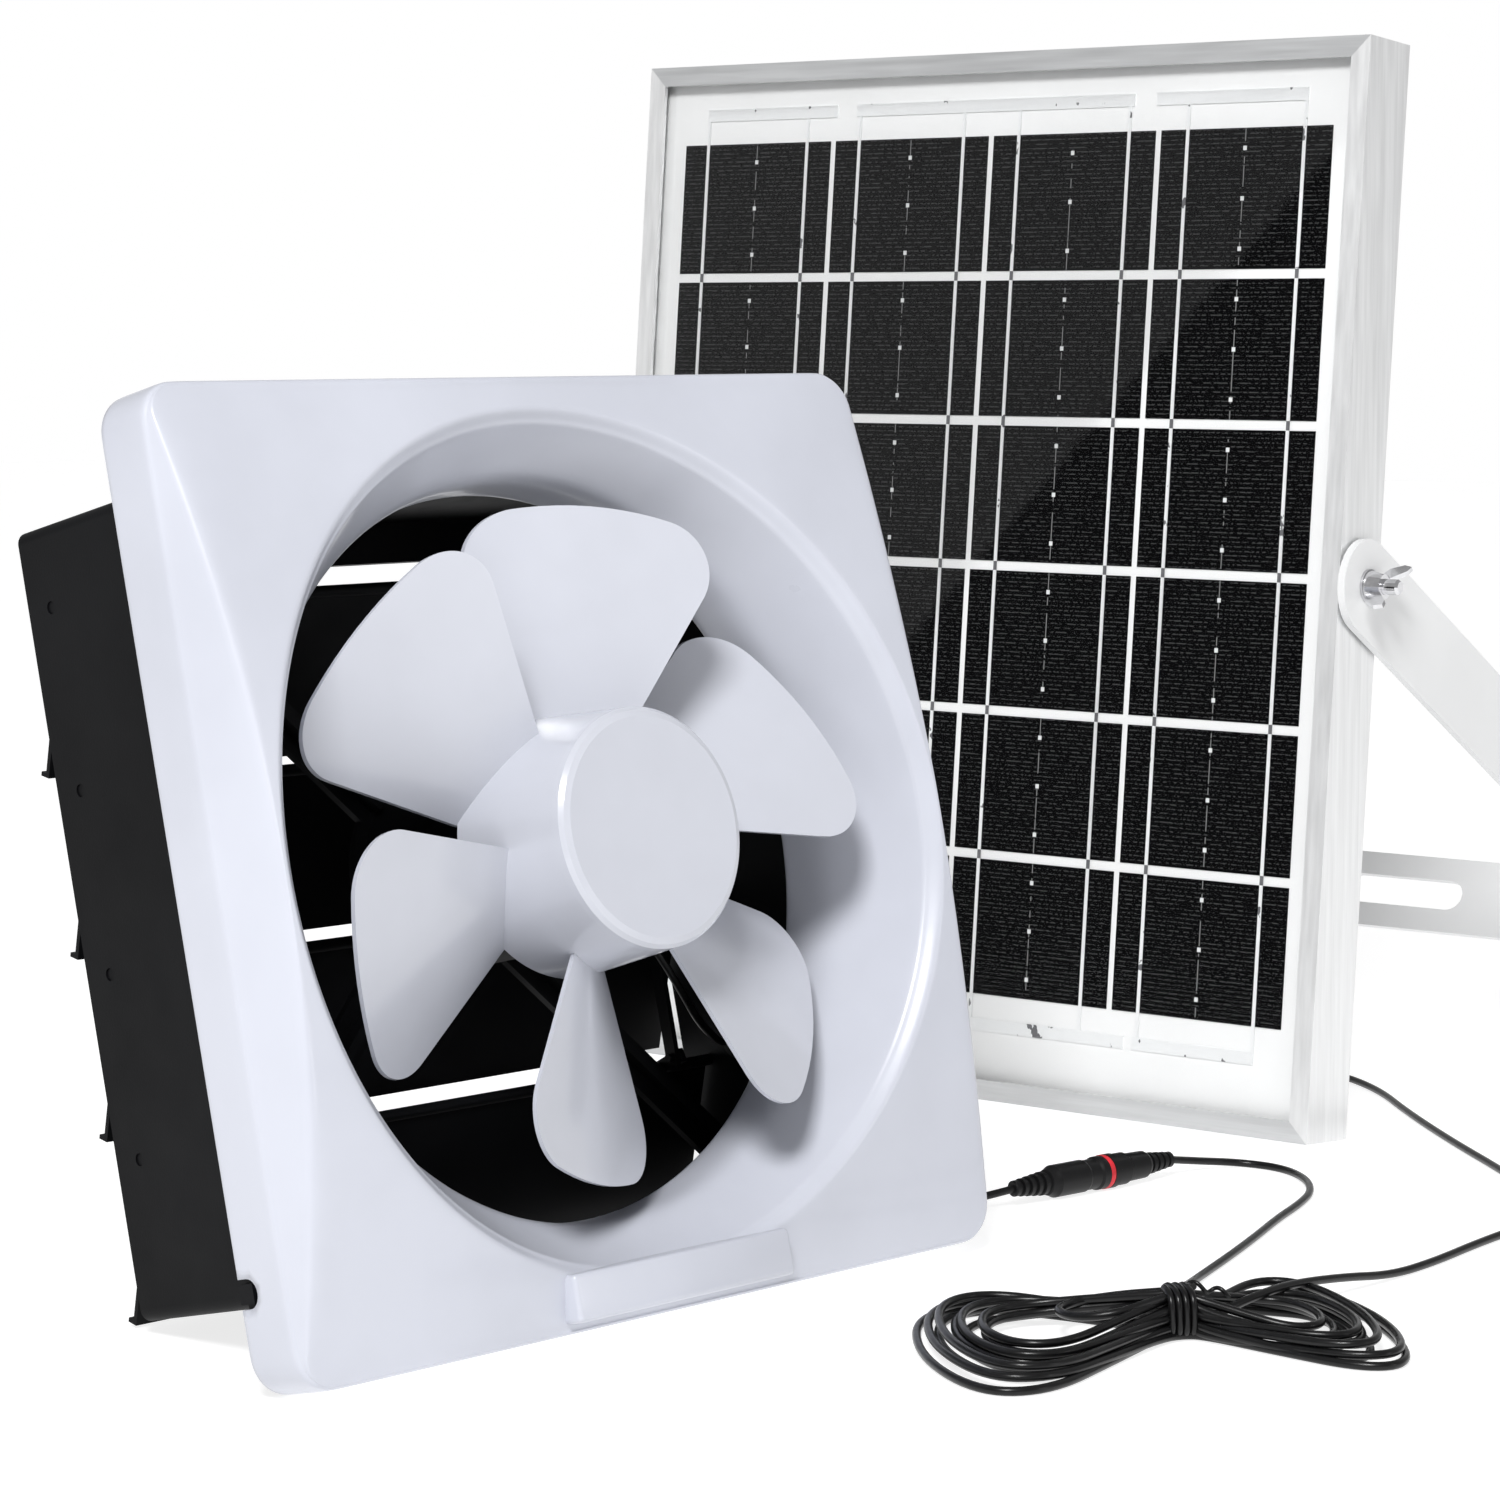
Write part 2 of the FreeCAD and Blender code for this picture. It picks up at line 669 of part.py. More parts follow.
stack_length = "stack_front - stack_back"
teeth = around(
    "tooth",
    box("tooth_bar", ("tooth_radius - 1", "-3", "stack_back"), ("29", "3", "stack_front")),
    6,
)
shoes = around(
    "shoe",
    box("shoe_bar", ("tooth_radius - 2", "-5", "stack_back"), ("16.5", "5", "stack_front")),
    6,
)
yoke = cut(
    "yoke",
    rod("yoke_outside", "motor_radius - motor_skin", ("0", "0", "stack_back"), stack_length),
    rod("yoke_inside", "27.5", ("0", "0", "stack_back - 1"), f"{stack_length} + 2"),
)
rotor_room = rod("rotor_room", "tooth_radius", ("0", "0", "stack_back - 1"), f"{stack_length} + 2")
keep_node(
    "motor_stator",
    cut("stack", fuse("stack_blank", yoke, *teeth, *shoes), rotor_room),
    place=fan_place,
)

coil = cut(
    "coil",
    box("coil_outside", ("17", "-6", "stack_back - 3.5"), ("26.5", "6", "stack_front + 3.5")),
    box("coil_inside", ("16", "-3", "stack_back"), ("28", "3", "stack_front")),
)
keep_node("motor_windings", *around("coil_copies", coil, 6), place=fan_place)
board_back = "stack_back - 3.5 - 1.4"
board = cut(
    "board",
    rod("board_disc", "29", ("0", "0", board_back), "1.4"),
    rod("board_bore", "11", ("0", "0", "stack_back - 10"), "10"),
)
keep_node("motor_board", board, place=fan_place)
keep_node(
    "motor_rotor",
    turned(
        "magnet",
        [
            ("shaft_radius", "stack_back + 1"),
            ("rotor_radius", "stack_back + 1"),
            ("rotor_radius", "stack_front - 1"),
            ("shaft_radius", "stack_front - 1"),
        ],
    ),
    place=fan_place,
)
web_front = "hub_back + 25"
keep_node(
    "motor_shaft",
    turned(
        "shaft",
        [
            ("0", "motor_back - 1"),
            ("shaft_radius", "motor_back - 1"),
            ("shaft_radius", web_front),
            ("shaft_radius - 1", web_front),
            ("shaft_radius - 1", "shaft_tip - 1"),
            ("shaft_radius - 2", "shaft_tip"),
            ("0", "shaft_tip"),
        ],
    ),
    place=fan_place,
)

# ---------------------------------------------------------------- impeller
web_back = "hub_back + 22"
hub_taper = "(hub_back_radius - hub_front_radius) / (hub_front - hub_back)"
hub = turned(
    "hub",
    [
        ("shaft_radius", "hub_back - 4"),
        ("hub_boss_radius", "hub_back - 4"),
        ("hub_boss_radius", web_back),
        (f"hub_back_radius - hub_wall - 22*{hub_taper}", web_back),
        ("hub_back_radius - hub_wall", "hub_back"),
        ("hub_back_radius", "hub_back"),
        ("hub_front_radius", "hub_front"),
        ("hub_front_radius - hub_wall", "hub_front"),
        (f"hub_back_radius - hub_wall - 25*{hub_taper}", web_front),
        ("shaft_radius", web_front),
    ],
)

BLADES = 6
BLADE_ROOT_RADIUS = 32.5
BLADE_ROOT_EDGES = (62.0, 107.0)
BLADE_TIP_EDGES = (53.5, 101.0)
BLADE_ROOT_HEIGHTS = (24.0, 4.0)
BLADE_TIP_HEIGHTS = (39.0, 1.0)
BLADE_CAMBER = 2.5
BLADE_CORNER = 17.0
BLADE_ROWS = 7
BLADE_COLUMNS = 9
BLADE_MARGIN = 0.12
BLADE_REACH = 1 + 2 * BLADE_MARGIN


def on_circle(radius, degrees, z=0.0):
    return Vector(radius * math.cos(math.radians(degrees)), radius * math.sin(math.radians(degrees)), z)


def blade_edge(side, outwards):
    """A point of the forward edge (side 0) or rear edge (side 1), seen along the axis."""
    root = on_circle(BLADE_ROOT_RADIUS, BLADE_ROOT_EDGES[side])
    tip = on_circle(size["blade_radius"], BLADE_TIP_EDGES[side])
    return root + (tip - root) * outwards


def blade_point(outwards, share):
    """A point of the blade's face: share is 0 at the forward edge and 1 at the rear edge."""
    front, rear = blade_edge(0, outwards), blade_edge(1, outwards)
    front_angle, rear_angle = (math.degrees(math.atan2(edge.y, edge.x)) for edge in (front, rear))
    radius = front.Length + (rear.Length - front.Length) * share
    angle = front_angle + (rear_angle - front_angle) * share
    pairs = zip(BLADE_ROOT_HEIGHTS, BLADE_TIP_HEIGHTS)
    front_height, rear_height = (root + (tip - root) * outwards for root, tip in pairs)
    height = front_height + (rear_height - front_height) * share + BLADE_CAMBER * math.sin(math.pi * share)
    return on_circle(radius, angle, height)


def blade_plan():
    """The blade's outline seen along the axis, as a prism with rounded tip corners."""
    tip = size["blade_radius"]
    down = Vector(0, 0, -30)
    corners = [
        blade_edge(0, 0) + down,
        blade_edge(0, 1) + down,
        blade_edge(1, 1) + down,
        blade_edge(1, 0) + down,
    ]
    edges = [
        Part.LineSegment(corners[0], corners[1]),
        Part.Arc(corners[1], on_circle(tip, sum(BLADE_TIP_EDGES) / 2, -30), corners[2]),
        Part.LineSegment(corners[2], corners[3]),
        Part.LineSegment(corners[3], corners[0]),
    ]
    prism = Part.Face(Part.Wire([edge.toShape() for edge in edges])).extrude(Vector(0, 0, 90))
    tips = []
    for edge in prism.Edges:
        middle = edge.CenterOfMass
        upright = abs(edge.tangentAt(edge.FirstParameter).z) > 0.99
        if upright and math.hypot(middle.x, middle.y) > tip - 5:
            tips.append(edge)
    return prism.makeFillet(BLADE_CORNER, tips)


def blade_shape():
    grid = []
    for step in range(BLADE_ROWS):
        row = []
        for k in range(BLADE_COLUMNS):
            share = -BLADE_MARGIN + k * BLADE_REACH / (BLADE_COLUMNS - 1)
            row.append(blade_point(-BLADE_MARGIN + step * BLADE_REACH / (BLADE_ROWS - 1), share))
        grid.append(row)
    face = Part.BSplineSurface()
    face.interpolate(grid)
    slab = face.toShape().extrude(Vector(0, 0, -size["blade_thickness"]))
    slope = (size["hub_back_radius"] - size["hub_front_radius"]) / (size["hub_front"] - size["hub_back"])
    core_low, core_high = -40, 70
    middle = size["hub_back_radius"] - 1.2
    core = Part.makeCone(
        middle + (size["hub_back"] - core_low) * slope,
        middle - (core_high - size["hub_back"]) * slope,
        core_high - core_low,
        Vector(0, 0, core_low),
    )
    return slab.common(blade_plan()).cut(core).Solids[0]


blade = blade_shape()
blades = []
for index in range(BLADES):
    turn = Placement(Vector(), Rotation(Vector(0, 0, 1), index * 360.0 / BLADES))
    blades.append(feature(f"blade_{index + 1}", blade.transformed(turn.toMatrix())))
keep_node("impeller", fuse("impeller_whole", hub, *blades), place=fan_place)

cap_front = "(hub_front + cap_thickness)"
keep_node(
    "hub_cap",
    turned(
        "cap",
        [
            ("0", f"{cap_front} - 2"),
            ("hub_front_radius - hub_wall - 2", f"{cap_front} - 2"),
            ("hub_front_radius - hub_wall - 2", "hub_front - 5"),
            ("hub_front_radius - hub_wall", "hub_front - 5"),
            ("hub_front_radius - hub_wall", "hub_front"),
            ("hub_front_radius", "hub_front"),
            ("hub_front_radius - 0.3", f"{cap_front} - 2.2"),
            ("hub_front_radius - 1.5", f"{cap_front} - 0.8"),
            ("hub_front_radius - 3.5", cap_front),
            ("0", cap_front),
        ],
    ),
    place=fan_place,
)


def hex_prism(name, across_flats, low, length, bore):
    """A hexagonal nut about z."""
    corner = f"({across_flats}) / sqrt(3)"
    ring = [(f"({corner})*cos({60 * k})", f"({corner})*sin({60 * k})") for k in range(6)]
    blank = padded(f"{name}_blank", "XY", ring, low, length)
    hole = rod(f"{name}_bore", bore, ("0", "0", f"({low}) - 1"), f"({length}) + 2")
    return cut(name, blank, hole)


keep_node("impeller_nut", hex_prism("shaft_nut", "10", web_front, "5", "shaft_radius - 1"), place=fan_place)


# ---------------------------------------------------------------- louvre flaps and their link
def flap(name):
    """One flap about its hinge, hanging along -y, with its pins, rolled hinge, lip, ribs and crank."""
    half = "flap_half_width"
    thick = "flap_thickness/2"
    along = ("sin(crank_angle)", "cos(crank_angle)")
    square_on = ("cos(crank_angle)", "-sin(crank_angle)")

    def crank_corner(reach, side):
        return tuple(f"({reach})*{a} + ({side})*{b}" for a, b in zip(along, square_on))

    crank_bar = padded(
        f"{name}_crank",
        "YZ",
        [
            crank_corner("-1", "-2.4"),
            crank_corner("crank_length + 2", "-2.4"),
            crank_corner("crank_length + 2", "2.4"),
            crank_corner("-1", "2.4"),
        ],
        "crank_side",
        "crank_thickness",
    )
    crank_pin = rod(
        f"{name}_crank_pin",
        "link_pin_radius",
        ("crank_side - link_thickness - 2", f"crank_length*{along[0]}", f"crank_length*{along[1]}"),
        "link_thickness + 3",
        "X",
    )
    ribs = [
        box(
            f"{name}_rib_{index + 1}",
            (f"{x} - 0.6", "-flap_length + 4", "-2.2"),
            (f"{x} + 0.6", "-2", "0"),
        )
        for index, x in enumerate((-80, 0, 80))
    ]
    return fuse(
        name,
        rod(f"{name}_pins", "flap_pin_radius", (f"-{half} - 4", "0", "0"), f"2*{half} + 8", "X"),
        box(f"{name}_sheet", (f"-{half}", "-flap_length", f"-{thick}"), (half, "0", thick)),
        box(f"{name}_lip", (f"-{half}", "-flap_length", "-3.2"), (half, "-flap_length + 1.4", thick)),
        crank_bar,
        crank_pin,
        *ribs,
    )


hinge_turn = Rotation(Vector(1, 0, 0), size["flap_open_angle"])
for index in range(4):
    height = size["flap_top_hinge"] - index * size["flap_pitch"]
    hinge = Placement(Vector(0, height, size["flap_hinge_level"]), hinge_turn)
    keep_node(f"louver_{index + 1}", flap(f"flap_{index + 1}"), place=fan_place.multiply(hinge))

crank_turn = math.radians(size["crank_angle"] - size["flap_open_angle"])
crank_reach = Vector(
    0,
    size["crank_length"] * math.sin(crank_turn),
    size["crank_length"] * math.cos(crank_turn),
)
link_place = Placement(
    crank_reach + Vector(0, size["flap_top_hinge"], size["flap_hinge_level"]),
    Rotation(),
)
bar = box(
    "link_bar",
    ("crank_side - link_thickness - 0.4", "-3*flap_pitch - 4", "-link_width/2"),
    ("crank_side - 0.4", "4", "link_width/2"),
)
bar_holes = [
    rod(
        f"link_hole_{index + 1}",
        "link_pin_radius + link_pin_play",
        ("crank_side - 6", f"-{index}*flap_pitch", "0"),
        "10",
        "X",
    )
    for index in range(4)
]
keep_node("louver_link", cut("link_drilled", bar, *bar_holes), place=fan_place.multiply(link_place))


# ---------------------------------------------------------------- panel frame
def rail_profile(inwards):
    """The rail's section as corners; inwards(distance) is the sketch's direction into the panel."""
    steps = [
        ("0", "0"),
        ("rail_flange", "0"),
        ("rail_flange", "rail_sheet"),
        ("rail_wall", "rail_sheet"),
        ("rail_wall", "glass_level - rail_sheet - 1.9"),
        ("rail_lip", "glass_level - rail_sheet - 1.9"),
        ("rail_lip", "glass_level - 1.9"),
        ("rail_wall", "glass_level - 1.9"),
        ("rail_wall", "panel_depth - rail_sheet"),
        ("rail_lip", "panel_depth - rail_sheet"),
        ("rail_lip", "panel_depth"),
        ("0", "panel_depth"),
    ]
    return [(inwards(distance), level) for distance, level in steps]


half_width = "panel_width/2"
mitre = "rail_flange"


def rail(name, plane, inwards, start, length, corners):
    bar_body = padded(f"{name}_bar", plane, rail_profile(inwards), start, length)
    wedge = padded(f"{name}_mitre", "XY", corners, "-1", "panel_depth + 2")
    return common(f"{name}_rail", bar_body, wedge)


rails = {
    "frame_bottom": rail(
        "bottom", "YZ", lambda a: a, f"-{half_width}", "panel_width",
        [(f"-{half_width}", "0"), (half_width, "0"), (f"{half_width} - {mitre}", mitre),
         (f"-({half_width} - {mitre})", mitre)],
    ),
    "frame_top": rail(
        "top", "YZ", lambda a: f"panel_height - {a}", f"-{half_width}", "panel_width",
        [(f"-{half_width}", "panel_height"), (f"-({half_width} - {mitre})", f"panel_height - {mitre}"),
         (f"{half_width} - {mitre}", f"panel_height - {mitre}"), (half_width, "panel_height")],
    ),
    "frame_left": rail(
        "left", "XZ", lambda a: f"{a} - {half_width}", "-panel_height", "panel_height",
        [(f"-{half_width}", "0"), (f"-({half_width} - {mitre})", mitre),
         (f"-({half_width} - {mitre})", f"panel_height - {mitre}"), (f"-{half_width}", "panel_height")],
    ),
    "frame_right": rail(
        "right", "XZ", lambda a: f"{half_width} - {a}", "-panel_height", "panel_height",
        [(half_width, "0"), (half_width, "panel_height"),
         (f"{half_width} - {mitre}", f"panel_height - {mitre}"), (f"{half_width} - {mitre}", mitre)],
    ),
}
pivot_hole = rod(
    "pivot_holes",
    "bolt_radius",
    ("-panel_width", "pivot_height", "pivot_level"),
    "2*panel_width",
    "X",
)
for node, item in rails.items():
    if node in ("frame_left", "frame_right"):
        item = cut(f"{node}_drilled", item, pivot_hole)
    keep_node(node, item, place=panel_place)


def corner_key(name, right, top):
    """An angle inside a corner of the frame, one leg in each rail."""
    legs = []
    for leg, (reach_x, reach_y) in enumerate(((32, 4), (4, 32))):
        low_x, high_x = ("rail_wall", f"rail_wall + {reach_x}")
        low_y, high_y = ("rail_wall", f"rail_wall + {reach_y}")
        if right:
            xs = (f"{half_width} - ({high_x})", f"{half_width} - ({low_x})")
        else:
            xs = (f"-{half_width} + {low_x}", f"-{half_width} + {high_x}")
        ys = (f"panel_height - ({high_y})", f"panel_height - ({low_y})") if top else (low_y, high_y)
        legs.append(
            box(f"{name}_leg_{leg + 1}", (xs[0], ys[0], "rail_sheet"), (xs[1], ys[1], "glass_level - 3.6")),
        )
    return fuse(name, *legs)


keys = [corner_key(f"key_{i + 1}", i in (1, 2), i > 1) for i in range(4)]
keep_node("corner_keys", *keys, place=panel_place)

# ---------------------------------------------------------------- laminate
edge_x = f"({half_width} - glass_gap)"
low_edge, high_edge = "glass_gap", "panel_height - glass_gap"


def sheet_of(name, low, high):
    return box(name, (f"-{edge_x}", low_edge, low), (edge_x, high_edge, high))


keep_node(
    "backsheet",
    sheet_of("backsheet_box", "glass_level - 1.9", "glass_level - 1.5"),
    place=panel_place,
)
keep_node(
    "encapsulant",
    sheet_of("encapsulant_box", "glass_level - 1.5", "glass_level - 0.5"),
    place=panel_place,
)
keep_node(
    "panel_glass", sheet_of("glass_box", "glass_level", "glass_level + glass_thickness"), place=panel_place
)
seal_low = "glass_level + glass_thickness"
seal = cut(
    "seal_ring",
    sheet_of("seal_outside", seal_low, "panel_depth - rail_sheet"),
    box(
        "seal_inside",
        (f"-({half_width} - rail_lip)", "rail_lip", "0"),
        (f"{half_width} - rail_lip", "panel_height - rail_lip", "panel_depth"),
    ),
)
keep_node("edge_seal", seal, place=panel_place)

COLUMNS, ROWS = 4, 6
cell_level = "glass_level - 0.5"
ribbon_level = f"{cell_level} + cell_thickness"


def column_centre(index):
    return f"({index - (COLUMNS - 1) / 2}*(cell_width + cell_gap_across))"


cells = []
for column in range(COLUMNS):
    for row in range(ROWS):
        bottom = f"cells_bottom + {row}*(cell_height + cell_gap_up)"
        middle = column_centre(column)
        cells.append(
            box(
                f"cell_{column + 1}_{row + 1}",
                (f"{middle} - cell_width/2", bottom, cell_level),
                (f"{middle} + cell_width/2", f"{bottom} + cell_height", ribbon_level),
            )
        )
keep_node("solar_cells", *cells, place=panel_place)
ribbons = []
for column in range(COLUMNS):
    for side in (-1, 1):
        middle = f"{column_centre(column)} + {side}*ribbon_pitch/2"
        ribbons.append(
            box(
                f"ribbon_{len(ribbons) + 1}",
                (f"{middle} - ribbon_width/2", "bus_bottom + bus_width/2", ribbon_level),
                (
                    f"{middle} + ribbon_width/2",
                    "bus_top - bus_width/2",
                    f"{ribbon_level} + ribbon_thickness",
                ),
            )
        )
keep_node("cell_ribbons", *ribbons, place=panel_place)
STRIPS = [
    ("bus_top", -146.5, -78),
    ("bus_top", -68, 68),
    ("bus_top", 78, 146.5),
    ("bus_bottom", -146.5, -91),
    ("bus_bottom", -87, -11),
    ("bus_bottom", 11, 87),
    ("bus_bottom", 91, 146.5),
]
strips = [
    box(
        f"strip_{index + 1}",
        (low, f"{height} - bus_width/2", cell_level),
        (high, f"{height} + bus_width/2", f"{ribbon_level} + ribbon_thickness"),
    )
    for index, (height, low, high) in enumerate(STRIPS)
]
keep_node("bus_strips", *strips, place=panel_place)

# ---------------------------------------------------------------- junction box
box_floor = "glass_level - 1.9"
box_top = "box_bottom + box_height"


def post(name, right, top, radius, low, high):
    x = "box_width/2 - box_wall - post_inset" if right else "-(box_width/2 - box_wall - post_inset)"
    y = f"{box_top} - box_wall - post_inset" if top else "box_bottom + box_wall + post_inset"
    return rod(name, radius, (x, y, low), f"({high}) - ({low})")


tub = cut(
    "tub",
    fuse(
        "tub_solid",
        cut(
            "tub_hollow",
            box(
                "tub_outside",
                ("-box_width/2", "box_bottom", "box_back"),
                ("box_width/2", box_top, box_floor),
            ),
            box(
                "tub_inside",
                ("-box_width/2 + box_wall", "box_bottom + box_wall", "box_back - 1"),
                ("box_width/2 - box_wall", f"{box_top} - box_wall", f"{box_floor} - box_wall"),
            ),
        ),
        *[
            post(f"tub_post_{i + 1}", i in (1, 2), i > 1, "3", "box_back", f"{box_floor} - 1")
            for i in range(4)
        ],
    ),
    rod("gland_hole", "5", ("gland_side", "box_bottom - 1", "gland_level"), "box_wall + 2", "Y"),
    *[
        post(f"tub_drill_{i + 1}", i in (1, 2), i > 1, "1.1", "box_back - 1", "box_back + 9")
        for i in range(4)
    ],
)
keep_node("junction_box_base", tub, place=panel_place)
lid = cut(
    "lid",
    fuse(
        "lid_solid",
        box(
            "lid_plate",
            ("-box_width/2", "box_bottom", "box_back - 2"),
            ("box_width/2", box_top, "box_back"),
        ),
        box(
            "lid_step",
            ("-box_width/2 + 12", "box_bottom + box_wall + 0.2", "box_back - 0.5"),
            ("box_width/2 - 12", f"{box_top} - box_wall - 0.2", "box_back + 1.2"),
        ),
    ),
    *[
        post(f"lid_drill_{i + 1}", i in (1, 2), i > 1, "1.4", "box_back - 4", "box_back + 4")
        for i in range(4)
    ],
)
keep_node("junction_box_lid", lid, place=panel_place)
lid_screws = []
for i in range(4):
    x = "box_width/2 - box_wall - post_inset" if i in (1, 2) else "-(box_width/2 - box_wall - post_inset)"
    y = f"{box_top} - box_wall - post_inset" if i > 1 else "box_bottom + box_wall + post_inset"
    lid_screws.append(pan_screw(f"lid_screw_{i + 1}", 1.1, 9, 2.2, x, y, "box_back - 2"))
keep_node("lid_screws", *lid_screws, place=panel_place)
terminals = []
for side in (-1, 1):
    block = box(
        f"terminal_block_{side + 2}",
        (f"{side}*18 - 6", "box_bottom + 22", f"{box_floor} - box_wall - 9"),
        (f"{side}*18 + 6", "box_bottom + 34", f"{box_floor} - box_wall"),
    )
    screw_well = rod(
        f"terminal_well_{side + 2}",
        "2",
        (f"{side}*18", "box_bottom + 28", f"{box_floor} - box_wall - 10"),
        "5",
    )
    wire_hole = rod(
        f"terminal_mouth_{side + 2}", "1.5", (
            f"{side}*18 + 2",
            "box_bottom + 20",
            f"{box_floor} - box_wall - 4",
        ),
        "8", "Y",
    )
    terminals.append(cut(f"terminal_{side + 2}", block, screw_well, wire_hole))
keep_node("junction_terminals", *terminals, place=panel_place)
diode = fuse(
    "diode_whole",
    rod("diode_body", "2.6", ("-5", "box_bottom + 28", f"{box_floor} - box_wall - 6"), "10", "X"),
    rod("diode_leads", "0.5", ("-12", "box_bottom + 28", f"{box_floor} - box_wall - 6"), "24", "X"),
)
keep_node("bypass_diode", diode, place=panel_place)
gland = turned(
    "gland_body",
    [
        ("cord_radius", "-4"),
        ("5", "-4"),
        ("5", "0"),
        ("7", "0"),
        ("7", "4"),
        ("6", "4.6"),
        ("6", "11"),
        ("3.2", "16"),
        ("cord_radius", "16"),
    ],
)
gland_base = Placement(
    Vector(size["gland_side"], size["box_bottom"], size["gland_level"]), Rotation(Vector(1, 0, 0), 90)
)
keep_node("cable_gland", gland, place=panel_place.multiply(gland_base))


# ---------------------------------------------------------------- pivots and U bracket
def each_side(name, make):
    """The same piece on both sides of the panel, mirrored about its middle plane."""
    items = []
    for side in (-1, 1):
        item = make(f"{name}_{'left' if side < 0 else 'right'}")
        turn = Rotation(Vector(0, 1, 0), 90) if side > 0 else Rotation(Vector(0, 1, 0), -90)
        at = Vector(0, size["pivot_height"], size["pivot_level"])
        items.append(placed(f"{name}_at_{side + 2}", item, Placement(at, turn)))
    return items


arm_inside = "(panel_width/2 + strip_gap)"
arm_outside = "(panel_width/2 + strip_gap + strip_thickness)"


def pivot_bolt(name):
    return turned(
        name,
        [
            ("0", "panel_width/2 - rail_wall - 4"),
            ("5", "panel_width/2 - rail_wall - 4"),
            ("5", "panel_width/2 - rail_wall"),
            ("bolt_radius", "panel_width/2 - rail_wall"),
            ("bolt_radius", "panel_width/2 + 17"),
            ("bolt_radius - 0.8", "panel_width/2 + 18"),
            ("0", "panel_width/2 + 18"),
        ],
    )


def washer(name, low, thickness=1):
    return turned(
        name,
        [
            ("bolt_radius", low),
            ("6.5", low),
            ("6.5", f"{low} + {thickness}"),
            ("bolt_radius", f"{low} + {thickness}"),
        ],
    )


keep_node("pivot_bolts", *each_side("bolt", pivot_bolt), place=panel_place)
inner_washers = each_side("washer_in", lambda name: washer(name, "panel_width/2"))
outer_washers = each_side("washer_out", lambda name: washer(name, f"{arm_outside} + 0.1"))
keep_node("pivot_washers", *inner_washers, *outer_washers, place=panel_place)

NUT_START = size["panel_width"] / 2 + size["strip_gap"] + size["strip_thickness"] + 1.2


def wing_nut(name):
    """A wing nut about z, its wings along x."""
    hub_body = turned(
        f"{name}_hub",
        [("bolt_radius + bolt_play", "0"), ("6", "0"), ("4.8", "6"), ("bolt_radius + bolt_play", "6")],
    )
    wings = []
    for side in (-1, 1):
        wing = padded(
            f"{name}_wing_{side + 2}",
            "XZ",
            [(f"{side}*4", "0.8"), (f"{side}*11", "3"), (f"{side}*14", "8"), (f"{side}*13", "11.5"),
             (f"{side}*10", "11"), (f"{side}*4", "5.6")],
            "-0.9",
            "1.8",
        )
        wings.append(wing)
    bore = rod(f"{name}_bore", "bolt_radius + bolt_play", ("0", "0", "-1"), "14")
    return cut(name, fuse(f"{name}_blank", hub_body, *wings), bore)


for side, name in ((-1, "wing_nut_left"), (1, "wing_nut_right")):
    turn = Rotation(Vector(0, 1, 0), side * 90).multiply(Rotation(Vector(0, 0, 1), 35))
    at = Vector(side * NUT_START, size["pivot_height"], size["pivot_level"])
    nut_place = panel_place.multiply(Placement(at, turn))
    keep_node(name, wing_nut(f"nut_{'left' if side < 0 else 'right'}"), place=nut_place)

strap = padded(
    "strap",
    "XZ",
    [
        (f"-{arm_outside}", "0"), (f"-{arm_outside}", "-arm_length"), (arm_outside, "-arm_length"),
        (arm_outside, "0"), (arm_inside, "0"), (arm_inside, "-arm_length + strip_thickness"),
        (f"-{arm_inside}", "-arm_length + strip_thickness"), (f"-{arm_inside}", "0"),
    ],
    "-strip_width/2",
    "strip_width",
)
bend_level = size["strip_thickness"] - size["arm_length"]
rounded(strap, "bend_radius", Vector(0, 1, 0), lambda middle: abs(middle.z - bend_level) < 0.1)
rounded(strap, "bend_radius + strip_thickness", Vector(0, 1, 0), lambda middle: middle.z < bend_level - 1)
eyes = [
    rod(f"eye_{i + 1}", "strip_width/2", (low, "0", "0"), "strip_thickness", "X")
    for i, low in enumerate((f"-{arm_outside}", arm_inside))
]
strap_holes = [
    rod("strap_pivots", "bolt_radius + bolt_play", ("-panel_width", "0", "0"), "2*panel_width", "X"),
]
for side in (-1, 1):
    inner = "slot_inner + slot_radius"
    outer = "slot_outer - slot_radius"
    ends = (inner, outer) if side > 0 else (f"-({outer})", f"-({inner})")
    strap_holes.append(
        box(f"slot_{side + 2}", (ends[0], "-slot_radius", "-arm_length - 5"),
            (ends[1], "slot_radius", "-arm_length + 10"))
    )
    for k, end in enumerate(ends):
        strap_holes.append(
            rod(f"slot_end_{side + 2}_{k + 1}", "slot_radius", (end, "0", "-arm_length - 5"), "15"),
        )
    strap_holes.append(
        rod(f"wall_mount_{side + 2}", "wall_hole_radius", (f"{side}*wall_hole_half_pitch", "0", "-arm_length - 5"),
            "15")
    )
bracket_turn = Rotation(Vector(1, 0, 0), -size["arm_angle"])
bracket_place = Placement(Vector(0, size["pivot_height"], size["pivot_level"]), bracket_turn)
keep_node(
    "tilt_bracket",
    cut("strap_drilled", fuse("strap_blank", strap, *eyes), *strap_holes),
    place=panel_place.multiply(bracket_place),
)


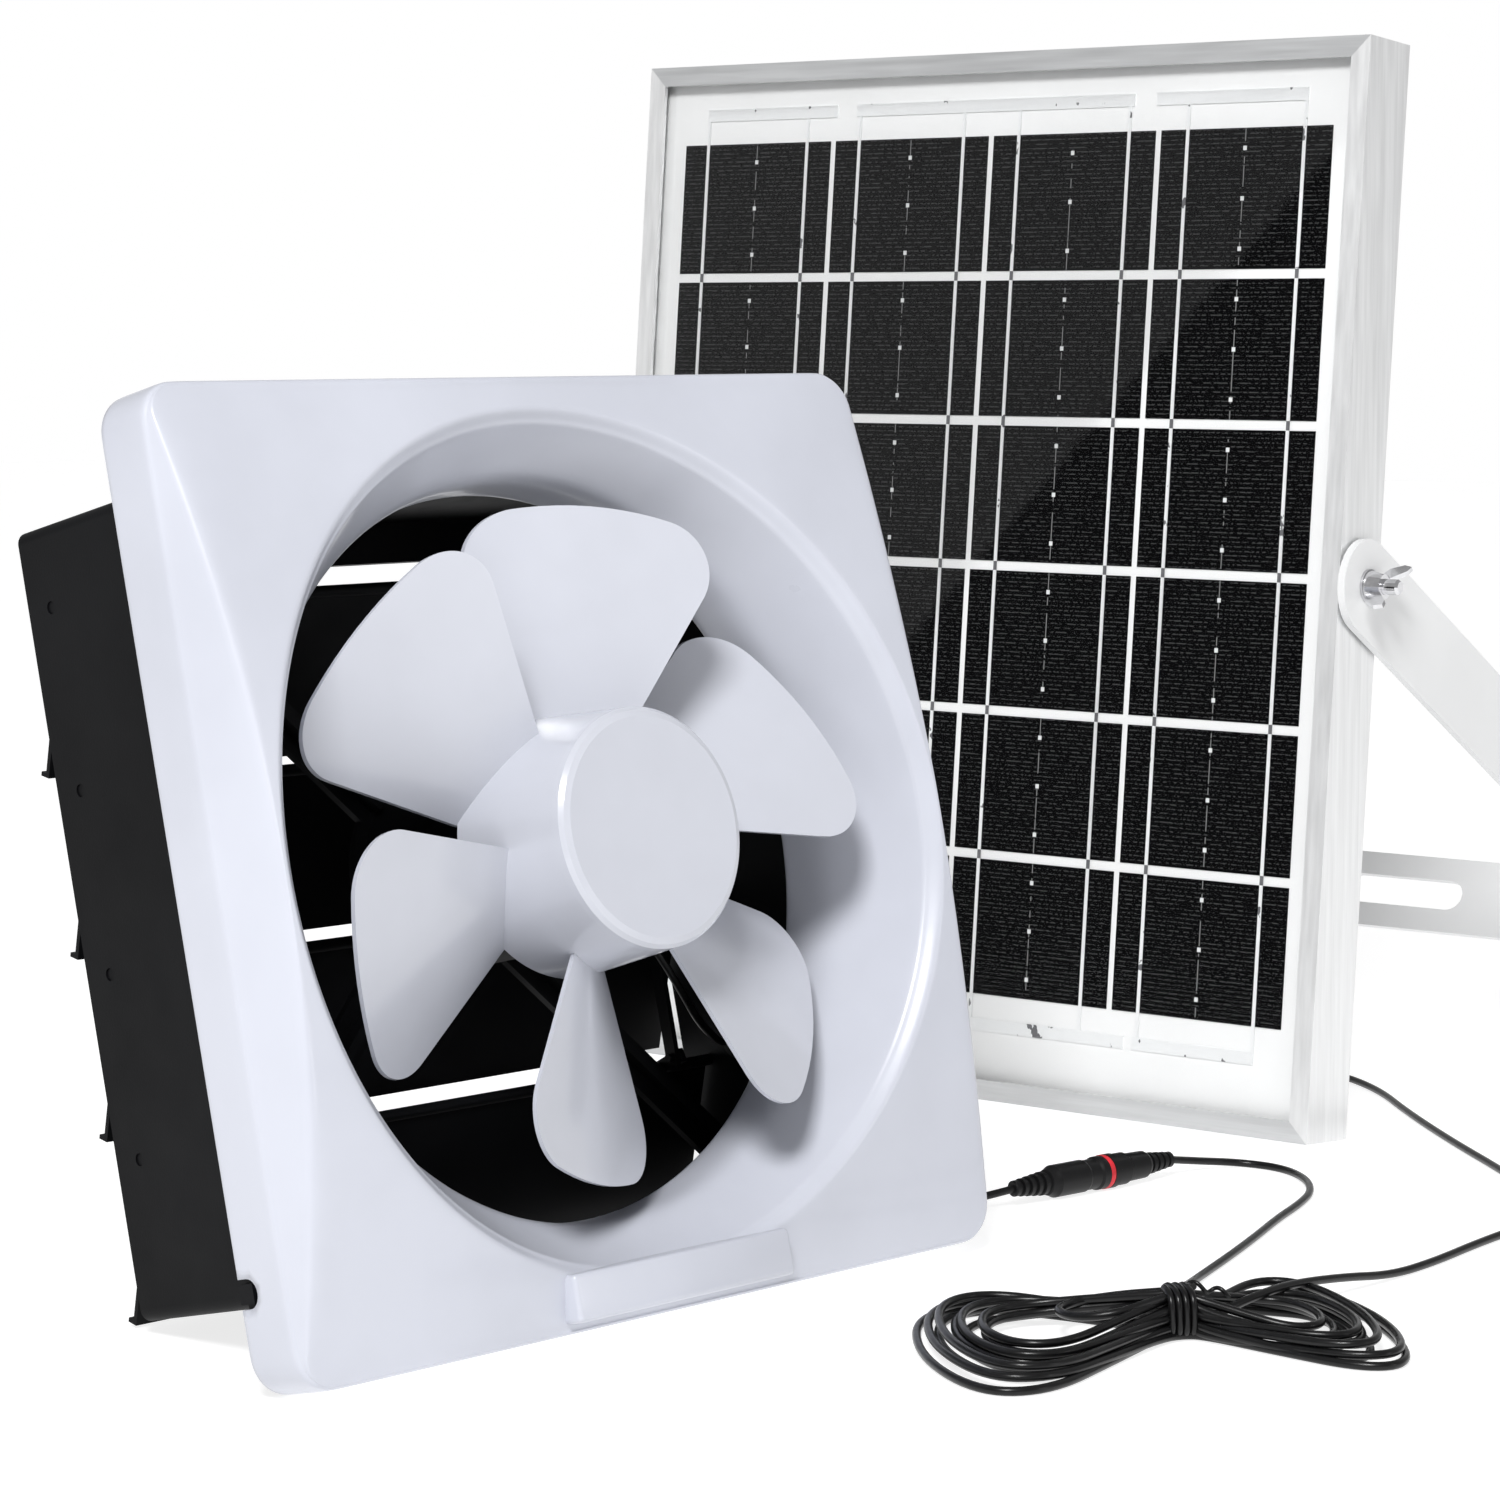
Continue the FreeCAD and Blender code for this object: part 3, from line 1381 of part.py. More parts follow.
# ---------------------------------------------------------------- cords
def cord(name, route):
    """A round tube along straight runs joined by tangent arcs, as large as the runs allow."""
    radius = size["cord_radius"]
    points = [Vector(*point) for point in route]
    edges = []
    start = points[0]
    radii = []
    for before, here, after in zip(points, points[1:], points[2:]):
        back = (before - here).normalize()
        on = (after - here).normalize()
        trim = 0.45 * min((before - here).Length, (after - here).Length)
        half_turn = (math.pi - back.getAngle(on)) / 2
        bend = trim / math.tan(half_turn)
        radii.append(bend)
        sag = bend / math.cos(half_turn) - bend
        first, last = here + back * trim, here + on * trim
        middle = here + (back + on).normalize() * sag
        edges.append(Part.LineSegment(start, first).toShape())
        edges.append(Part.Arc(first, middle, last).toShape())
        start = last
    edges.append(Part.LineSegment(start, points[-1]).toShape())
    line = Part.Wire(edges)
    ring = Part.Wire(Part.makeCircle(radius, points[0], points[1] - points[0]))
    tube = line.makePipeShell([ring], True, False)
    expected = math.pi * radius**2 * line.Length
    print(
        f"{name}: length {line.Length:.0f}, tightest bend {min(radii):.1f}, volume {tube.Volume / expected:.3f}",
    )
    return feature(name, tube)


grommet_place = Placement(
    Vector(size["duct_size"] / 2 - size["duct_wall"], LEAD_UP, LEAD_LEVEL), Rotation(Vector(0, 1, 0), 90)
)
grommet = turned(
    "grommet",
    [
        ("cord_radius", "-1.5"),
        ("6", "-1.5"),
        ("6", "0"),
        ("4", "0"),
        ("4", "duct_wall"),
        ("6", "duct_wall"),
        ("6", "duct_wall + 1.5"),
        ("3.6", "duct_wall + 2.5"),
        ("2.8", "duct_wall + 7"),
        ("cord_radius", "duct_wall + 7"),
    ],
)
keep_node("lead_grommet", grommet, place=fan_place.multiply(grommet_place))
inner_lead = [
    (29.05, 0, -48),
    (44, -1, -47),
    (60, -9, -46),
    (76, -26, -46),
    (90, -46, -48),
    (102, -62, -52),
    (114, -70, -56),
    (124.5, -70, -56),
]
keep_node("motor_lead", cord("inner_lead", inner_lead), place=fan_place)

# The lead leaves the grommet along the duct's side, drops to the floor and runs to the connector.
exit_point = fan_place.multVec(Vector(124.5, LEAD_UP, LEAD_LEVEL))
ahead = fan_place.multVec(Vector(142, LEAD_UP, LEAD_LEVEL))
PLUG_START = Vector(142.9, -53.7, 6.4)
PLUG_ANGLE = 78.9
PLUG_LENGTH = 81.0
plug_axis = on_circle(1, PLUG_ANGLE)
plug_end = PLUG_START + plug_axis * PLUG_LENGTH
lead_route = [
    tuple(exit_point),
    tuple(ahead),
    (82, -98, 50),
    (88, -89, 33),
    (95, -84, 17),
    (105, -81, 6),
    (118, -78, 1.6),
    (131, -71, 2.8),
    (139, -62, 5),
    tuple(PLUG_START + plug_axis * 1.0),
]
keep_node("fan_lead", cord("fan_lead_tube", lead_route))


def plug_half(name, start, rings, shell):
    """Half of the round connector about z: a ribbed strain relief, then the barrel."""
    corners = [("0", "0"), ("2.4", "0")]
    level = start
    for index in range(rings):
        radius = 2.9 + 0.35 * index
        corners += [(str(radius), str(level)), (str(radius), str(level + 1.7))]
        corners += [(str(radius - 0.6), str(level + 1.9)), (str(radius - 0.6), str(level + 3.0))]
        level += 3.2
    return turned(name, corners + [(str(r), str(level + z)) for r, z in shell])


BACK = Rotation(Vector(0, 1, 0), 180)
plug_turn = Rotation(Vector(0, 0, 1), plug_axis)
male = plug_half(
    "plug_male", 0.4, 5,
    [(4.6, 0.2), (5.2, 2), (5.9, 3.5), (5.9, 18), (5.5, 19), (5.5, 24), (6.1, 25), (6.1, 28.1), (3.4, 28.1),
     (3.4, 37), (0, 37)],
)
keep_node("fan_lead_connector", male, place=Placement(PLUG_START, plug_turn))
seal_start = 0.4 + 5 * 3.2 + 28.1
seal_ring = turned(
    "plug_seal",
    [("3.4", "0"), ("6.1", "0"), ("6.3", "0.5"), ("6.3", "1.7"), ("6.1", "2.2"), ("3.4", "2.2")],
)
keep_node("connector_seal", seal_ring, place=Placement(PLUG_START + plug_axis * seal_start, plug_turn))
female_length = PLUG_LENGTH - seal_start - 2.2
barrel = female_length - 0.4 - 4 * 3.2
female = plug_half(
    "plug_female", 0.4, 4,
    [(4.4, 0.2), (5.0, 1.5), (5.2, barrel - 10), (5.9, barrel - 9), (5.9, barrel - 3.4), (6.3, barrel - 3),
     (6.3, barrel), (0, barrel)],
)
socket = rod("plug_socket", "3.4", ("0", "0", str(female_length - 8)), "10")
female_place = Placement(plug_end, plug_turn.multiply(BACK))
keep_node("panel_cord_connector", cut("plug_female_bored", female, socket), place=female_place)

# The hank: about ten turns folded into two lobes and tied at the waist.
HANK_MIDDLE = Vector(292.0, -180.2, 0)
HANK_ANGLE = 48.0
HANK_LEFT, HANK_RIGHT = 88.0, 68.0
HANK_WAIST = 6.5
HANK_LOBE = 128.0
HANK_BEND = 0.0020
HANK_LOW, HANK_TOP = 0.2, 15.0
TIE_HALF = 1.6
hank_place = Placement(HANK_MIDDLE, Rotation(Vector(0, 0, 1), HANK_ANGLE))
hank_outline = []
for step in range(32):
    turn = math.tau * step / 32
    along = (HANK_RIGHT if math.cos(turn) > 0 else HANK_LEFT) * math.cos(turn)
    across = math.sin(turn) * (HANK_WAIST + HANK_LOBE * math.cos(turn) ** 2)
    hank_outline.append(Vector(along, across - HANK_BEND * along**2, HANK_LOW))
rim = Part.BSplineCurve()
rim.interpolate(Points=hank_outline, PeriodicFlag=True)
lobes = feature("lobes", Part.Face(Part.Wire(rim.toShape())).extrude(Vector(0, 0, HANK_TOP - HANK_LOW)))
tie_low, tie_high = HANK_LOW + 1.2, HANK_TOP - 1.0
waist = box("waist", (-TIE_HALF, -HANK_WAIST, tie_low), (TIE_HALF, HANK_WAIST, tie_high))
tie_room = box("tie_room", (-TIE_HALF, -20, -1), (TIE_HALF, 20, 30))
hank_solid = fuse("hank_solid", cut("lobes_split", lobes, tie_room), waist)
tie_band = box(
    "tie_band",
    (-TIE_HALF, -HANK_WAIST - 1.2, 0.1),
    (TIE_HALF, HANK_WAIST + 1.2, HANK_TOP + 0.2),
)
keep_node("panel_cord_hank", hank_solid, place=hank_place)
keep_node("hank_tie", cut("tie_ring", tie_band, waist), place=hank_place)

front_start = plug_end - plug_axis * 1.0
into_hank = hank_place.multVec(Vector(9, 3, 9))
front_route = [
    tuple(front_start),
    tuple(front_start + plug_axis * 13 - Vector(0, 0, 2.2)),
    (170, 57, 1.6),
    (188, 58, 1.5),
    (205, 46, 1.5),
    (218, 27, 1.6),
    (225, 6, 1.5),
    (231, -18, 1.6),
    (240, -48, 1.5),
    (249, -80, 1.6),
    (256, -108, 1.5),
    (264, -131, 3),
    (273, -150, 7),
    tuple(into_hank),
]
front_tube = cord("panel_cord_front_tube", front_route)
hank_here = placed("hank_here", hank_solid, hank_place)
keep_node("panel_cord_front", cut("front_trimmed", front_tube, hank_here))

out_of_hank = hank_place.multVec(Vector(44, 26, 9))
gland_mouth = panel_place.multVec(Vector(size["gland_side"], size["box_bottom"] - 15, size["gland_level"]))
gland_ahead = panel_place.multVec(
    Vector(size["gland_side"], size["box_bottom"] - 38, size["gland_level"] - 2),
)
rear_route = [
    tuple(out_of_hank),
    (304, -100, 6),
    (306, -72, 1.8),
    (307, -45, 1.5),
    (305, -9, 1.6),
    (305, 33, 1.5),
    (288, 69, 1.6),
    (256, 102, 1.5),
    (212, 142, 1.5),
    (170, 183, 1.6),
    (136, 220, 1.5),
    (102, 242, 1.6),
    (68, 244, 1.5),
    (42, 228, 6),
    (28, 204, 24),
    (24, 182, 58),
    (23, 166, 100),
    (23, 154, 150),
    (23.5, 146, 205),
    (23.8, 142, 250),
    tuple(gland_ahead),
    tuple(gland_mouth),
]
rear_tube = cord("panel_cord_rear_tube", rear_route)
keep_node("panel_cord_rear", cut("rear_trimmed", rear_tube, hank_here))

# ---------------------------------------------------------------- check and write
doc.recompute()
for item in doc.Objects:
    if "Invalid" in item.State or "Error" in item.State:
        raise RuntimeError(f"{item.Name} ({item.Label}) failed: {item.State}")
for name, item in nodes.items():
    shape = item.Shape
    if shape.isNull() or not shape.isValid() or not shape.Solids:
        raise RuntimeError(f"{name} has no valid solid")
    if item.Label != name:
        raise RuntimeError(f"{name} is labelled {item.Label}")

os.makedirs("parts", exist_ok=True)
for name, item in nodes.items():
    item.Shape.exportStep(f"parts/{name}.step")
everything = Part.makeCompound([item.Shape for item in nodes.values()])
hardware = Part.makeCompound([item.Shape for name, item in nodes.items() if name not in CORD_NODES])
print(len(nodes), "nodes", everything.BoundBox, hardware.BoundBox)
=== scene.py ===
import math
import random

import bmesh
import bpy
from mathutils import Euler, Matrix, Vector


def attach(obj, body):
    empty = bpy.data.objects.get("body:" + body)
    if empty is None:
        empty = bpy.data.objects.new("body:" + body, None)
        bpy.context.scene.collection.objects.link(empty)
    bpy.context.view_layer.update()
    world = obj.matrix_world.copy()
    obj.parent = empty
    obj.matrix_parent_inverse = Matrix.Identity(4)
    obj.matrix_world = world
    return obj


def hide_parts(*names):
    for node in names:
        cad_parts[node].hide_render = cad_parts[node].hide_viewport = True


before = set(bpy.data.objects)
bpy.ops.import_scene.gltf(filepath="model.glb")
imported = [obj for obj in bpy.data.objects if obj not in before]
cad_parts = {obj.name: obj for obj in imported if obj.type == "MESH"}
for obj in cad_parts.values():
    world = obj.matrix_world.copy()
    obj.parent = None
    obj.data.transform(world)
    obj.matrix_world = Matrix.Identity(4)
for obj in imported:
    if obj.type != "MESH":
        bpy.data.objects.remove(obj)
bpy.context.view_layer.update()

scene = bpy.context.scene
MM = 0.001

# ---------------------------------------------------------------- the two placements of the CAD model
COVER_HALF = 150.0
DUCT_HALF = 125.0
DUCT_DEPTH = 84.0
RIB_DROP = 4.5
FAN_FOOT = Vector((140, -264, 0)) * MM
FAN_HEADING = 83.3
FAN_LEAN = math.atan((COVER_HALF - DUCT_HALF - RIB_DROP) / DUCT_DEPTH)
FAN_TURN = (
    Matrix.Rotation(math.radians(FAN_HEADING), 4, "Z")
    @ Matrix.Rotation(math.radians(90) - FAN_LEAN, 4, "X")
)
FAN_RISE = Matrix.Translation(Vector((0, COVER_HALF, 0)) * MM)
FAN = Matrix.Translation(FAN_FOOT) @ FAN_TURN @ FAN_RISE
PANEL_TILT = 85
PANEL_FOOT = Vector((0, 126, 0)) * MM
PANEL = Matrix.Translation(PANEL_FOOT) @ Matrix.Rotation(math.radians(PANEL_TILT), 4, "X")


# ---------------------------------------------------------------- materials
COAT_ROUGHNESS = 0.08


class Nodes:
    """A material's node tree, built up by small calls."""

    def __init__(self, name):
        self.material = bpy.data.materials.new(name)
        self.material.use_nodes = True
        self.tree = self.material.node_tree
        self.place = self.node("ShaderNodeTexCoord").outputs["Object"]

    def node(self, kind, **settings):
        node = self.tree.nodes.new(kind)
        for key, value in settings.items():
            setattr(node, key, value)
        return node

    def link(self, output, target):
        self.tree.links.new(output, target)

    def math(self, operation, first, second=0.0):
        node = self.node("ShaderNodeMath", operation=operation)
        for socket, value in zip(node.inputs, (first, second)):
            if isinstance(value, (int, float)):
                socket.default_value = value
            else:
                self.link(value, socket)
        return node.outputs[0]

    def noise(self, scale, detail, stretch=(1, 1, 1)):
        mapping = self.node("ShaderNodeMapping")
        mapping.inputs["Scale"].default_value = stretch
        noise = self.node("ShaderNodeTexNoise")
        noise.inputs["Scale"].default_value = scale
        noise.inputs["Detail"].default_value = detail
        self.link(self.place, mapping.inputs["Vector"])
        self.link(mapping.outputs["Vector"], noise.inputs["Vector"])
        return noise.outputs["Fac"]


class Paint(Nodes):
    """A material with one principled shader, its colour, roughness and bump varied by nodes."""

    def __init__(self, name, colour, roughness, metallic=0.0, coat=0.0, specular=0.5):
        super().__init__(name)
        self.shader = self.tree.nodes["Principled BSDF"]
        self.shader.inputs["Base Color"].default_value = (*colour, 1)
        self.shader.inputs["Roughness"].default_value = roughness
        self.shader.inputs["Metallic"].default_value = metallic
        self.shader.inputs["Coat Weight"].default_value = coat
        self.shader.inputs["Coat Roughness"].default_value = COAT_ROUGHNESS
        self.shader.inputs["Specular IOR Level"].default_value = specular

    def colour(self, factor, low, high, start=0.35, end=0.65):
        node = self.node("ShaderNodeValToRGB")
        node.color_ramp.elements[0].position = start
        node.color_ramp.elements[1].position = end
        node.color_ramp.elements[0].color = (*low, 1)
        node.color_ramp.elements[1].color = (*high, 1)
        self.link(factor, node.inputs["Fac"])
        self.link(node.outputs["Color"], self.shader.inputs["Base Color"])

    def rough(self, factor, low, high):
        span = self.node("ShaderNodeMapRange")
        span.inputs["To Min"].default_value = low
        span.inputs["To Max"].default_value = high
        self.link(factor, span.inputs["Value"])
        self.link(span.outputs["Result"], self.shader.inputs["Roughness"])

    def bump(self, factor, height, strength):
        bump = self.node("ShaderNodeBump")
        bump.inputs["Distance"].default_value = height
        bump.inputs["Strength"].default_value = strength
        self.link(factor, bump.inputs["Height"])
        self.link(bump.outputs["Normal"], self.shader.inputs["Normal"])


def moulded(name, colour, roughness, coat=0.0, grain=0.00004, scale=900, change=0.04, specular=0.5):
    """Moulded plastic: a slight drift of tone, uneven gloss and a fine surface grain, in metres."""
    paint = Paint(name, colour, roughness, coat=coat, specular=specular)
    darker = tuple(c * (1 - change) for c in colour)
    lighter = tuple(min(1, c * (1 + change)) for c in colour)
    paint.colour(paint.noise(14, 4), darker, lighter)
    paint.rough(paint.noise(55, 5), roughness * 0.8, min(1, roughness * 1.25))
    paint.bump(paint.noise(scale, 2), grain, 0.5)
    return paint.material


def metal(name, colour, roughness, stretch=(1, 1, 1), grain=0.00003, metallic=1.0):
    """Drawn, rolled or plated metal: fine lines along the direction of least stretch, uneven gloss."""
    paint = Paint(name, colour, roughness, metallic=metallic)
    lines = paint.noise(420, 6, stretch)
    paint.colour(lines, tuple(c * 0.86 for c in colour), colour, 0.3, 0.7)
    paint.rough(lines, roughness * 0.7, roughness * 1.4)
    paint.bump(lines, grain, 0.6)
    return paint.material


def rubber(name, colour, roughness):
    """Rubber or soft vinyl: blotches of tone, uneven gloss and a fine grain."""
    paint = Paint(name, colour, roughness, specular=0.35)
    darker = tuple(c * 0.7 for c in colour)
    lighter = tuple(c * 1.5 for c in colour)
    paint.colour(paint.noise(160, 4), darker, lighter)
    paint.rough(paint.noise(300, 4), roughness * 0.75, roughness * 1.3)
    paint.bump(paint.noise(1500, 2), 0.00003, 0.5)
    return paint.material


def panel_place(paint):
    """Coordinates in the panel's own frame, in metres: across it and up it."""
    shift = paint.node("ShaderNodeVectorMath", operation="SUBTRACT")
    shift.inputs[1].default_value = PANEL_FOOT
    paint.link(paint.place, shift.inputs[0])
    turn = paint.node("ShaderNodeMapping")
    turn.inputs["Rotation"].default_value = Euler((math.radians(-PANEL_TILT), 0, 0))
    paint.link(shift.outputs[0], turn.inputs["Vector"])
    split = paint.node("ShaderNodeSeparateXYZ")
    paint.link(turn.outputs["Vector"], split.inputs["Vector"])
    return split.outputs["X"], split.outputs["Y"]


# Columns and rows of cells in millimetres: pitch, where the rows start, printed lines and pads.
COLUMN_PITCH = 79.6
ROW_PITCH = 58.2
ROWS_START = 41.8 - 1.9
ROWS_MIDDLE = 0.2145
ROWS_HALF = 0.172
FINGER_PITCH = 1.75
FINGER_START = 0.62
PADS_PER_CELL = 3
PAD_HALF = (0.8, 0.85)
MIDDLE_LINE_HALF = 0.2
# Where, in each row, the painted shade on the ribbon's dip between two cells starts.
SHADED_DIP_START = 27.3
SILICON = (0.002, 0.002, 0.0024)
PRINTED = (0.75, 0.76, 0.77)


def from_middle(paint, value, pitch, start=0.0):
    """Distance in millimetres from the middle of each pitch along a coordinate."""
    steps = paint.math("DIVIDE", paint.math("SUBTRACT", value, start * MM), pitch * MM)
    share = paint.math("SUBTRACT", paint.math("FRACT", steps), 0.5)
    return paint.math("MULTIPLY", paint.math("ABSOLUTE", share), pitch)


def cell_material():
    """Black silicon with broken printed fingers, and a fine middle line with square pads."""
    paint = Paint("cell_silicon", SILICON, 0.35, specular=0.03)
    across, up = panel_place(paint)
    finger = paint.math("GREATER_THAN", from_middle(paint, up, FINGER_PITCH), FINGER_START)
    gaps = paint.math("GREATER_THAN", paint.noise(850, 1, (1, 1, 1.3)), 0.5)
    fingers = paint.math("MULTIPLY", paint.math("MULTIPLY", finger, gaps), 0.06)
    column = from_middle(paint, across, COLUMN_PITCH)
    line = paint.math("LESS_THAN", column, MIDDLE_LINE_HALF)
    broken = paint.math("GREATER_THAN", paint.noise(300, 2, (0.1, 1, 1)), 0.46)
    line = paint.math("MULTIPLY", paint.math("MULTIPLY", line, broken), 0.28)
    row = from_middle(paint, up, ROW_PITCH / PADS_PER_CELL, ROWS_START)
    pads = paint.math(
        "MULTIPLY",
        paint.math("LESS_THAN", row, PAD_HALF[1]),
        paint.math("LESS_THAN", column, PAD_HALF[0]),
    )
    mark = paint.math("MAXIMUM", paint.math("MAXIMUM", fingers, line), pads)
    paint.colour(mark, SILICON, PRINTED, 0.0, 1.0)
    paint.rough(mark, 0.3, 0.5)
    return paint.material


def ribbon_material():
    """Tinned ribbon with an uneven wetted surface, and painted shade darkening it where it dips between
    two cells.
    """
    paint = Paint("tinned_ribbon", (0.8, 0.81, 0.82), 0.34, metallic=0.2)
    up = panel_place(paint)[1]
    # Painted shade: the ribbon is darkened where it dips between two cells, and its random blotches are
    # darker too.
    dip_painted_shade = paint.math("GREATER_THAN", from_middle(paint, up, ROW_PITCH, ROWS_START), SHADED_DIP_START)
    blotch = paint.noise(180, 5, (1, 0.4, 0.6))
    from_centre = paint.math("ABSOLUTE", paint.math("SUBTRACT", up, ROWS_MIDDLE))
    dip_painted_shade = paint.math("MULTIPLY", dip_painted_shade, paint.math("LESS_THAN", from_centre, ROWS_HALF))
    blotches_and_shade = paint.math("MAXIMUM", dip_painted_shade, paint.math("GREATER_THAN", blotch, 0.66))
    paint.colour(blotches_and_shade, (0.92, 0.93, 0.94), (0.16, 0.16, 0.17), 0.2, 0.9)
    paint.rough(blotch, 0.2, 0.5)
    paint.bump(blotch, 0.00025, 0.8)
    return paint.material


# Painted reflection across the glass: the slope of its slanting edge, the heights in metres between
# which the shine changes on the panel's middle, and the share of the shine left below it.
PAINTED_REFLECTION_SLOPE = 1.05
PAINTED_REFLECTION_EDGE = (0.206, 0.214)
PAINTED_REFLECTION_BELOW = 0.12


def glass_material():
    """Thin clear cover glass: see-through, with a mirror layer that is weaker below a slanting line, a
    painted reflection edge.
    """
    paint = Nodes("cover_glass")
    paint.tree.nodes.remove(paint.tree.nodes["Principled BSDF"])
    across, up = panel_place(paint)
    # Painted reflection: the mirror layer's share is set by a fixed slanting line on the glass.
    slope = paint.math("SUBTRACT", up, paint.math("MULTIPLY", across, PAINTED_REFLECTION_SLOPE))
    level = paint.node("ShaderNodeMapRange", interpolation_type="SMOOTHSTEP")
    level.inputs["From Min"].default_value = PAINTED_REFLECTION_EDGE[0]
    level.inputs["From Max"].default_value = PAINTED_REFLECTION_EDGE[1]
    level.inputs["To Min"].default_value = PAINTED_REFLECTION_BELOW
    level.inputs["To Max"].default_value = 1.0
    paint.link(slope, level.inputs["Value"])
    fresnel = paint.node("ShaderNodeFresnel")
    fresnel.inputs["IOR"].default_value = 1.33
    share = paint.math("MULTIPLY", fresnel.outputs[0], level.outputs["Result"])
    clear = paint.node("ShaderNodeBsdfTransparent")
    clear.inputs["Color"].default_value = (0.985, 0.987, 0.986, 1)
    shine = paint.node("ShaderNodeBsdfGlossy")
    shine.inputs["Roughness"].default_value = 0.06
    ripple = paint.node("ShaderNodeBump")
    ripple.inputs["Distance"].default_value = 0.00001
    paint.link(paint.noise(1200, 2), ripple.inputs["Height"])
    paint.link(ripple.outputs["Normal"], shine.inputs["Normal"])
    mix = paint.node("ShaderNodeMixShader")
    paint.link(share, mix.inputs[0])
    paint.link(clear.outputs[0], mix.inputs[1])
    paint.link(shine.outputs[0], mix.inputs[2])
    paint.link(mix.outputs[0], paint.tree.nodes["Material Output"].inputs["Surface"])
    return paint.material


WHITE = moulded("cover_plastic", (0.56, 0.577, 0.645), 0.3, coat=0.3, grain=0.00002)
BLADE = moulded("impeller_plastic", (0.56, 0.575, 0.635), 0.22, coat=0.4, grain=0.00001)
BLACK = moulded(
    "duct_plastic", (0.004, 0.0042, 0.005), 0.48, grain=0.00006, scale=1400, change=0.25, specular=0.1
)
PLUG = moulded(
    "plug_plastic", (0.005, 0.005, 0.0055), 0.4, grain=0.00003, scale=1600, change=0.2, specular=0.25
)
FILM = moulded("white_film", (0.93, 0.93, 0.935), 0.5, grain=0.00001, change=0.02)
POWDER = moulded("powder_coat", (0.82, 0.825, 0.83), 0.42, grain=0.00006, scale=1100, change=0.03)
BOARD = moulded("circuit_board", (0.02, 0.1, 0.04), 0.4, change=0.1)
RAIL = metal("anodised_rail", (0.80, 0.81, 0.82), 0.36, (0.05, 1, 1), grain=0.00002, metallic=0.8)
# Painted light: a lighter, less metallic copy of the rail on the upright rails, standing in for the
# light falling on their sides.
RAIL_UPRIGHT_PAINTED_LIGHT = metal(
    "anodised_rail_upright_painted_light", (0.93, 0.935, 0.94), 0.36, (1, 1, 0.05), grain=0.00002, metallic=0.55
)
ZINC = metal("zinc_plate", (0.66, 0.66, 0.68), 0.3)
CHROME = metal("bright_plate", (0.82, 0.82, 0.84), 0.12, grain=0.00001)
CORE = metal("laminations", (0.22, 0.22, 0.24), 0.45, (1, 1, 12))
COPPER = metal("enamelled_copper", (0.72, 0.28, 0.11), 0.32, (8, 1, 1))
RIBBON = ribbon_material()
SHEATH = rubber("cord_sheath", (0.003, 0.003, 0.0033), 0.3)
GROMMET = rubber("grommet_rubber", (0.008, 0.008, 0.008), 0.6)
SEAL = rubber("seal_silicone", (0.5, 0.02, 0.03), 0.4)
SEALANT = rubber("sealant", (0.6, 0.61, 0.61), 0.6)
CELL = cell_material()
GLASS = glass_material()

PAINTED = {
    WHITE: ["front_cover"],
    BLADE: ["impeller", "hub_cap"],
    BLACK: [
        "rear_frame", "louver_1", "louver_2", "louver_3", "louver_4", "louver_link", "motor_bracket",
        "motor_housing", "motor_end_cap", "junction_box_base", "junction_box_lid", "cable_gland",
    ],
    PLUG: ["fan_lead_connector", "panel_cord_connector"],
    FILM: ["backsheet", "encapsulant"],
    POWDER: ["tilt_bracket"],
    BOARD: ["motor_board", "bypass_diode"],
    RAIL: ["frame_top", "frame_bottom", "corner_keys"],
    RAIL_UPRIGHT_PAINTED_LIGHT: ["frame_left", "frame_right"],
    ZINC: [
        "bracket_screws", "motor_screws", "lid_screws", "impeller_nut", "motor_shaft", "front_bearing",
        "rear_bearing", "pivot_washers", "junction_terminals",
    ],
    CHROME: ["pivot_bolts", "wing_nut_left", "wing_nut_right"],
    CORE: ["motor_stator", "motor_rotor"],
    COPPER: ["motor_windings"],
    RIBBON: ["cell_ribbons", "bus_strips"],
    SHEATH: [
        "motor_lead", "fan_lead", "panel_cord_front", "panel_cord_rear", "panel_cord_hank", "hank_tie",
    ],
    GROMMET: ["lead_grommet"],
    SEAL: ["connector_seal"],
    SEALANT: ["edge_seal"],
    CELL: ["solar_cells"],
    GLASS: ["panel_glass"],
}
for material, names in PAINTED.items():
    for name in names:
        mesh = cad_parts[name].data
        mesh.materials.clear()
        mesh.materials.append(material)


# ---------------------------------------------------------------- camera, light and floor
CAMERA_PLACE = Vector((968.93, -1260.88, 314.06)) * MM
CAMERA_WAY = Vector((-0.61303, 0.78337, -0.10261))
LENS = 100.02
SENSOR = 36.0
# The room's light is full inside a wide cone about this direction and weaker outside it.
BACKDROP_WAY = (-0.613, 0.783, -0.103)
BACKDROP_EDGE = (0.86, 0.955)
ROOM_LEVEL = 0.36
FLOOR_HALF = 6
FLOOR_GREY = 0.4
FLOOR_GLOW = 0.8


def set_camera():
    data = bpy.data.cameras.new("camera")
    camera = bpy.data.objects.new("camera", data)
    scene.collection.objects.link(camera)
    camera.location = CAMERA_PLACE
    camera.rotation_mode = "QUATERNION"
    camera.rotation_quaternion = CAMERA_WAY.to_track_quat("-Z", "Y")
    data.sensor_width = SENSOR
    data.lens = LENS
    scene.camera = camera


def area_light(name, place, target, size, power):
    data = bpy.data.lights.new(name, "AREA")
    data.shape = "RECTANGLE"
    data.size, data.size_y = size
    data.energy = power
    lamp = bpy.data.objects.new(name, data)
    lamp.location = place
    lamp.rotation_mode = "QUATERNION"
    lamp.rotation_quaternion = (Vector(target) - Vector(place)).to_track_quat("-Z", "Y")
    scene.collection.objects.link(lamp)


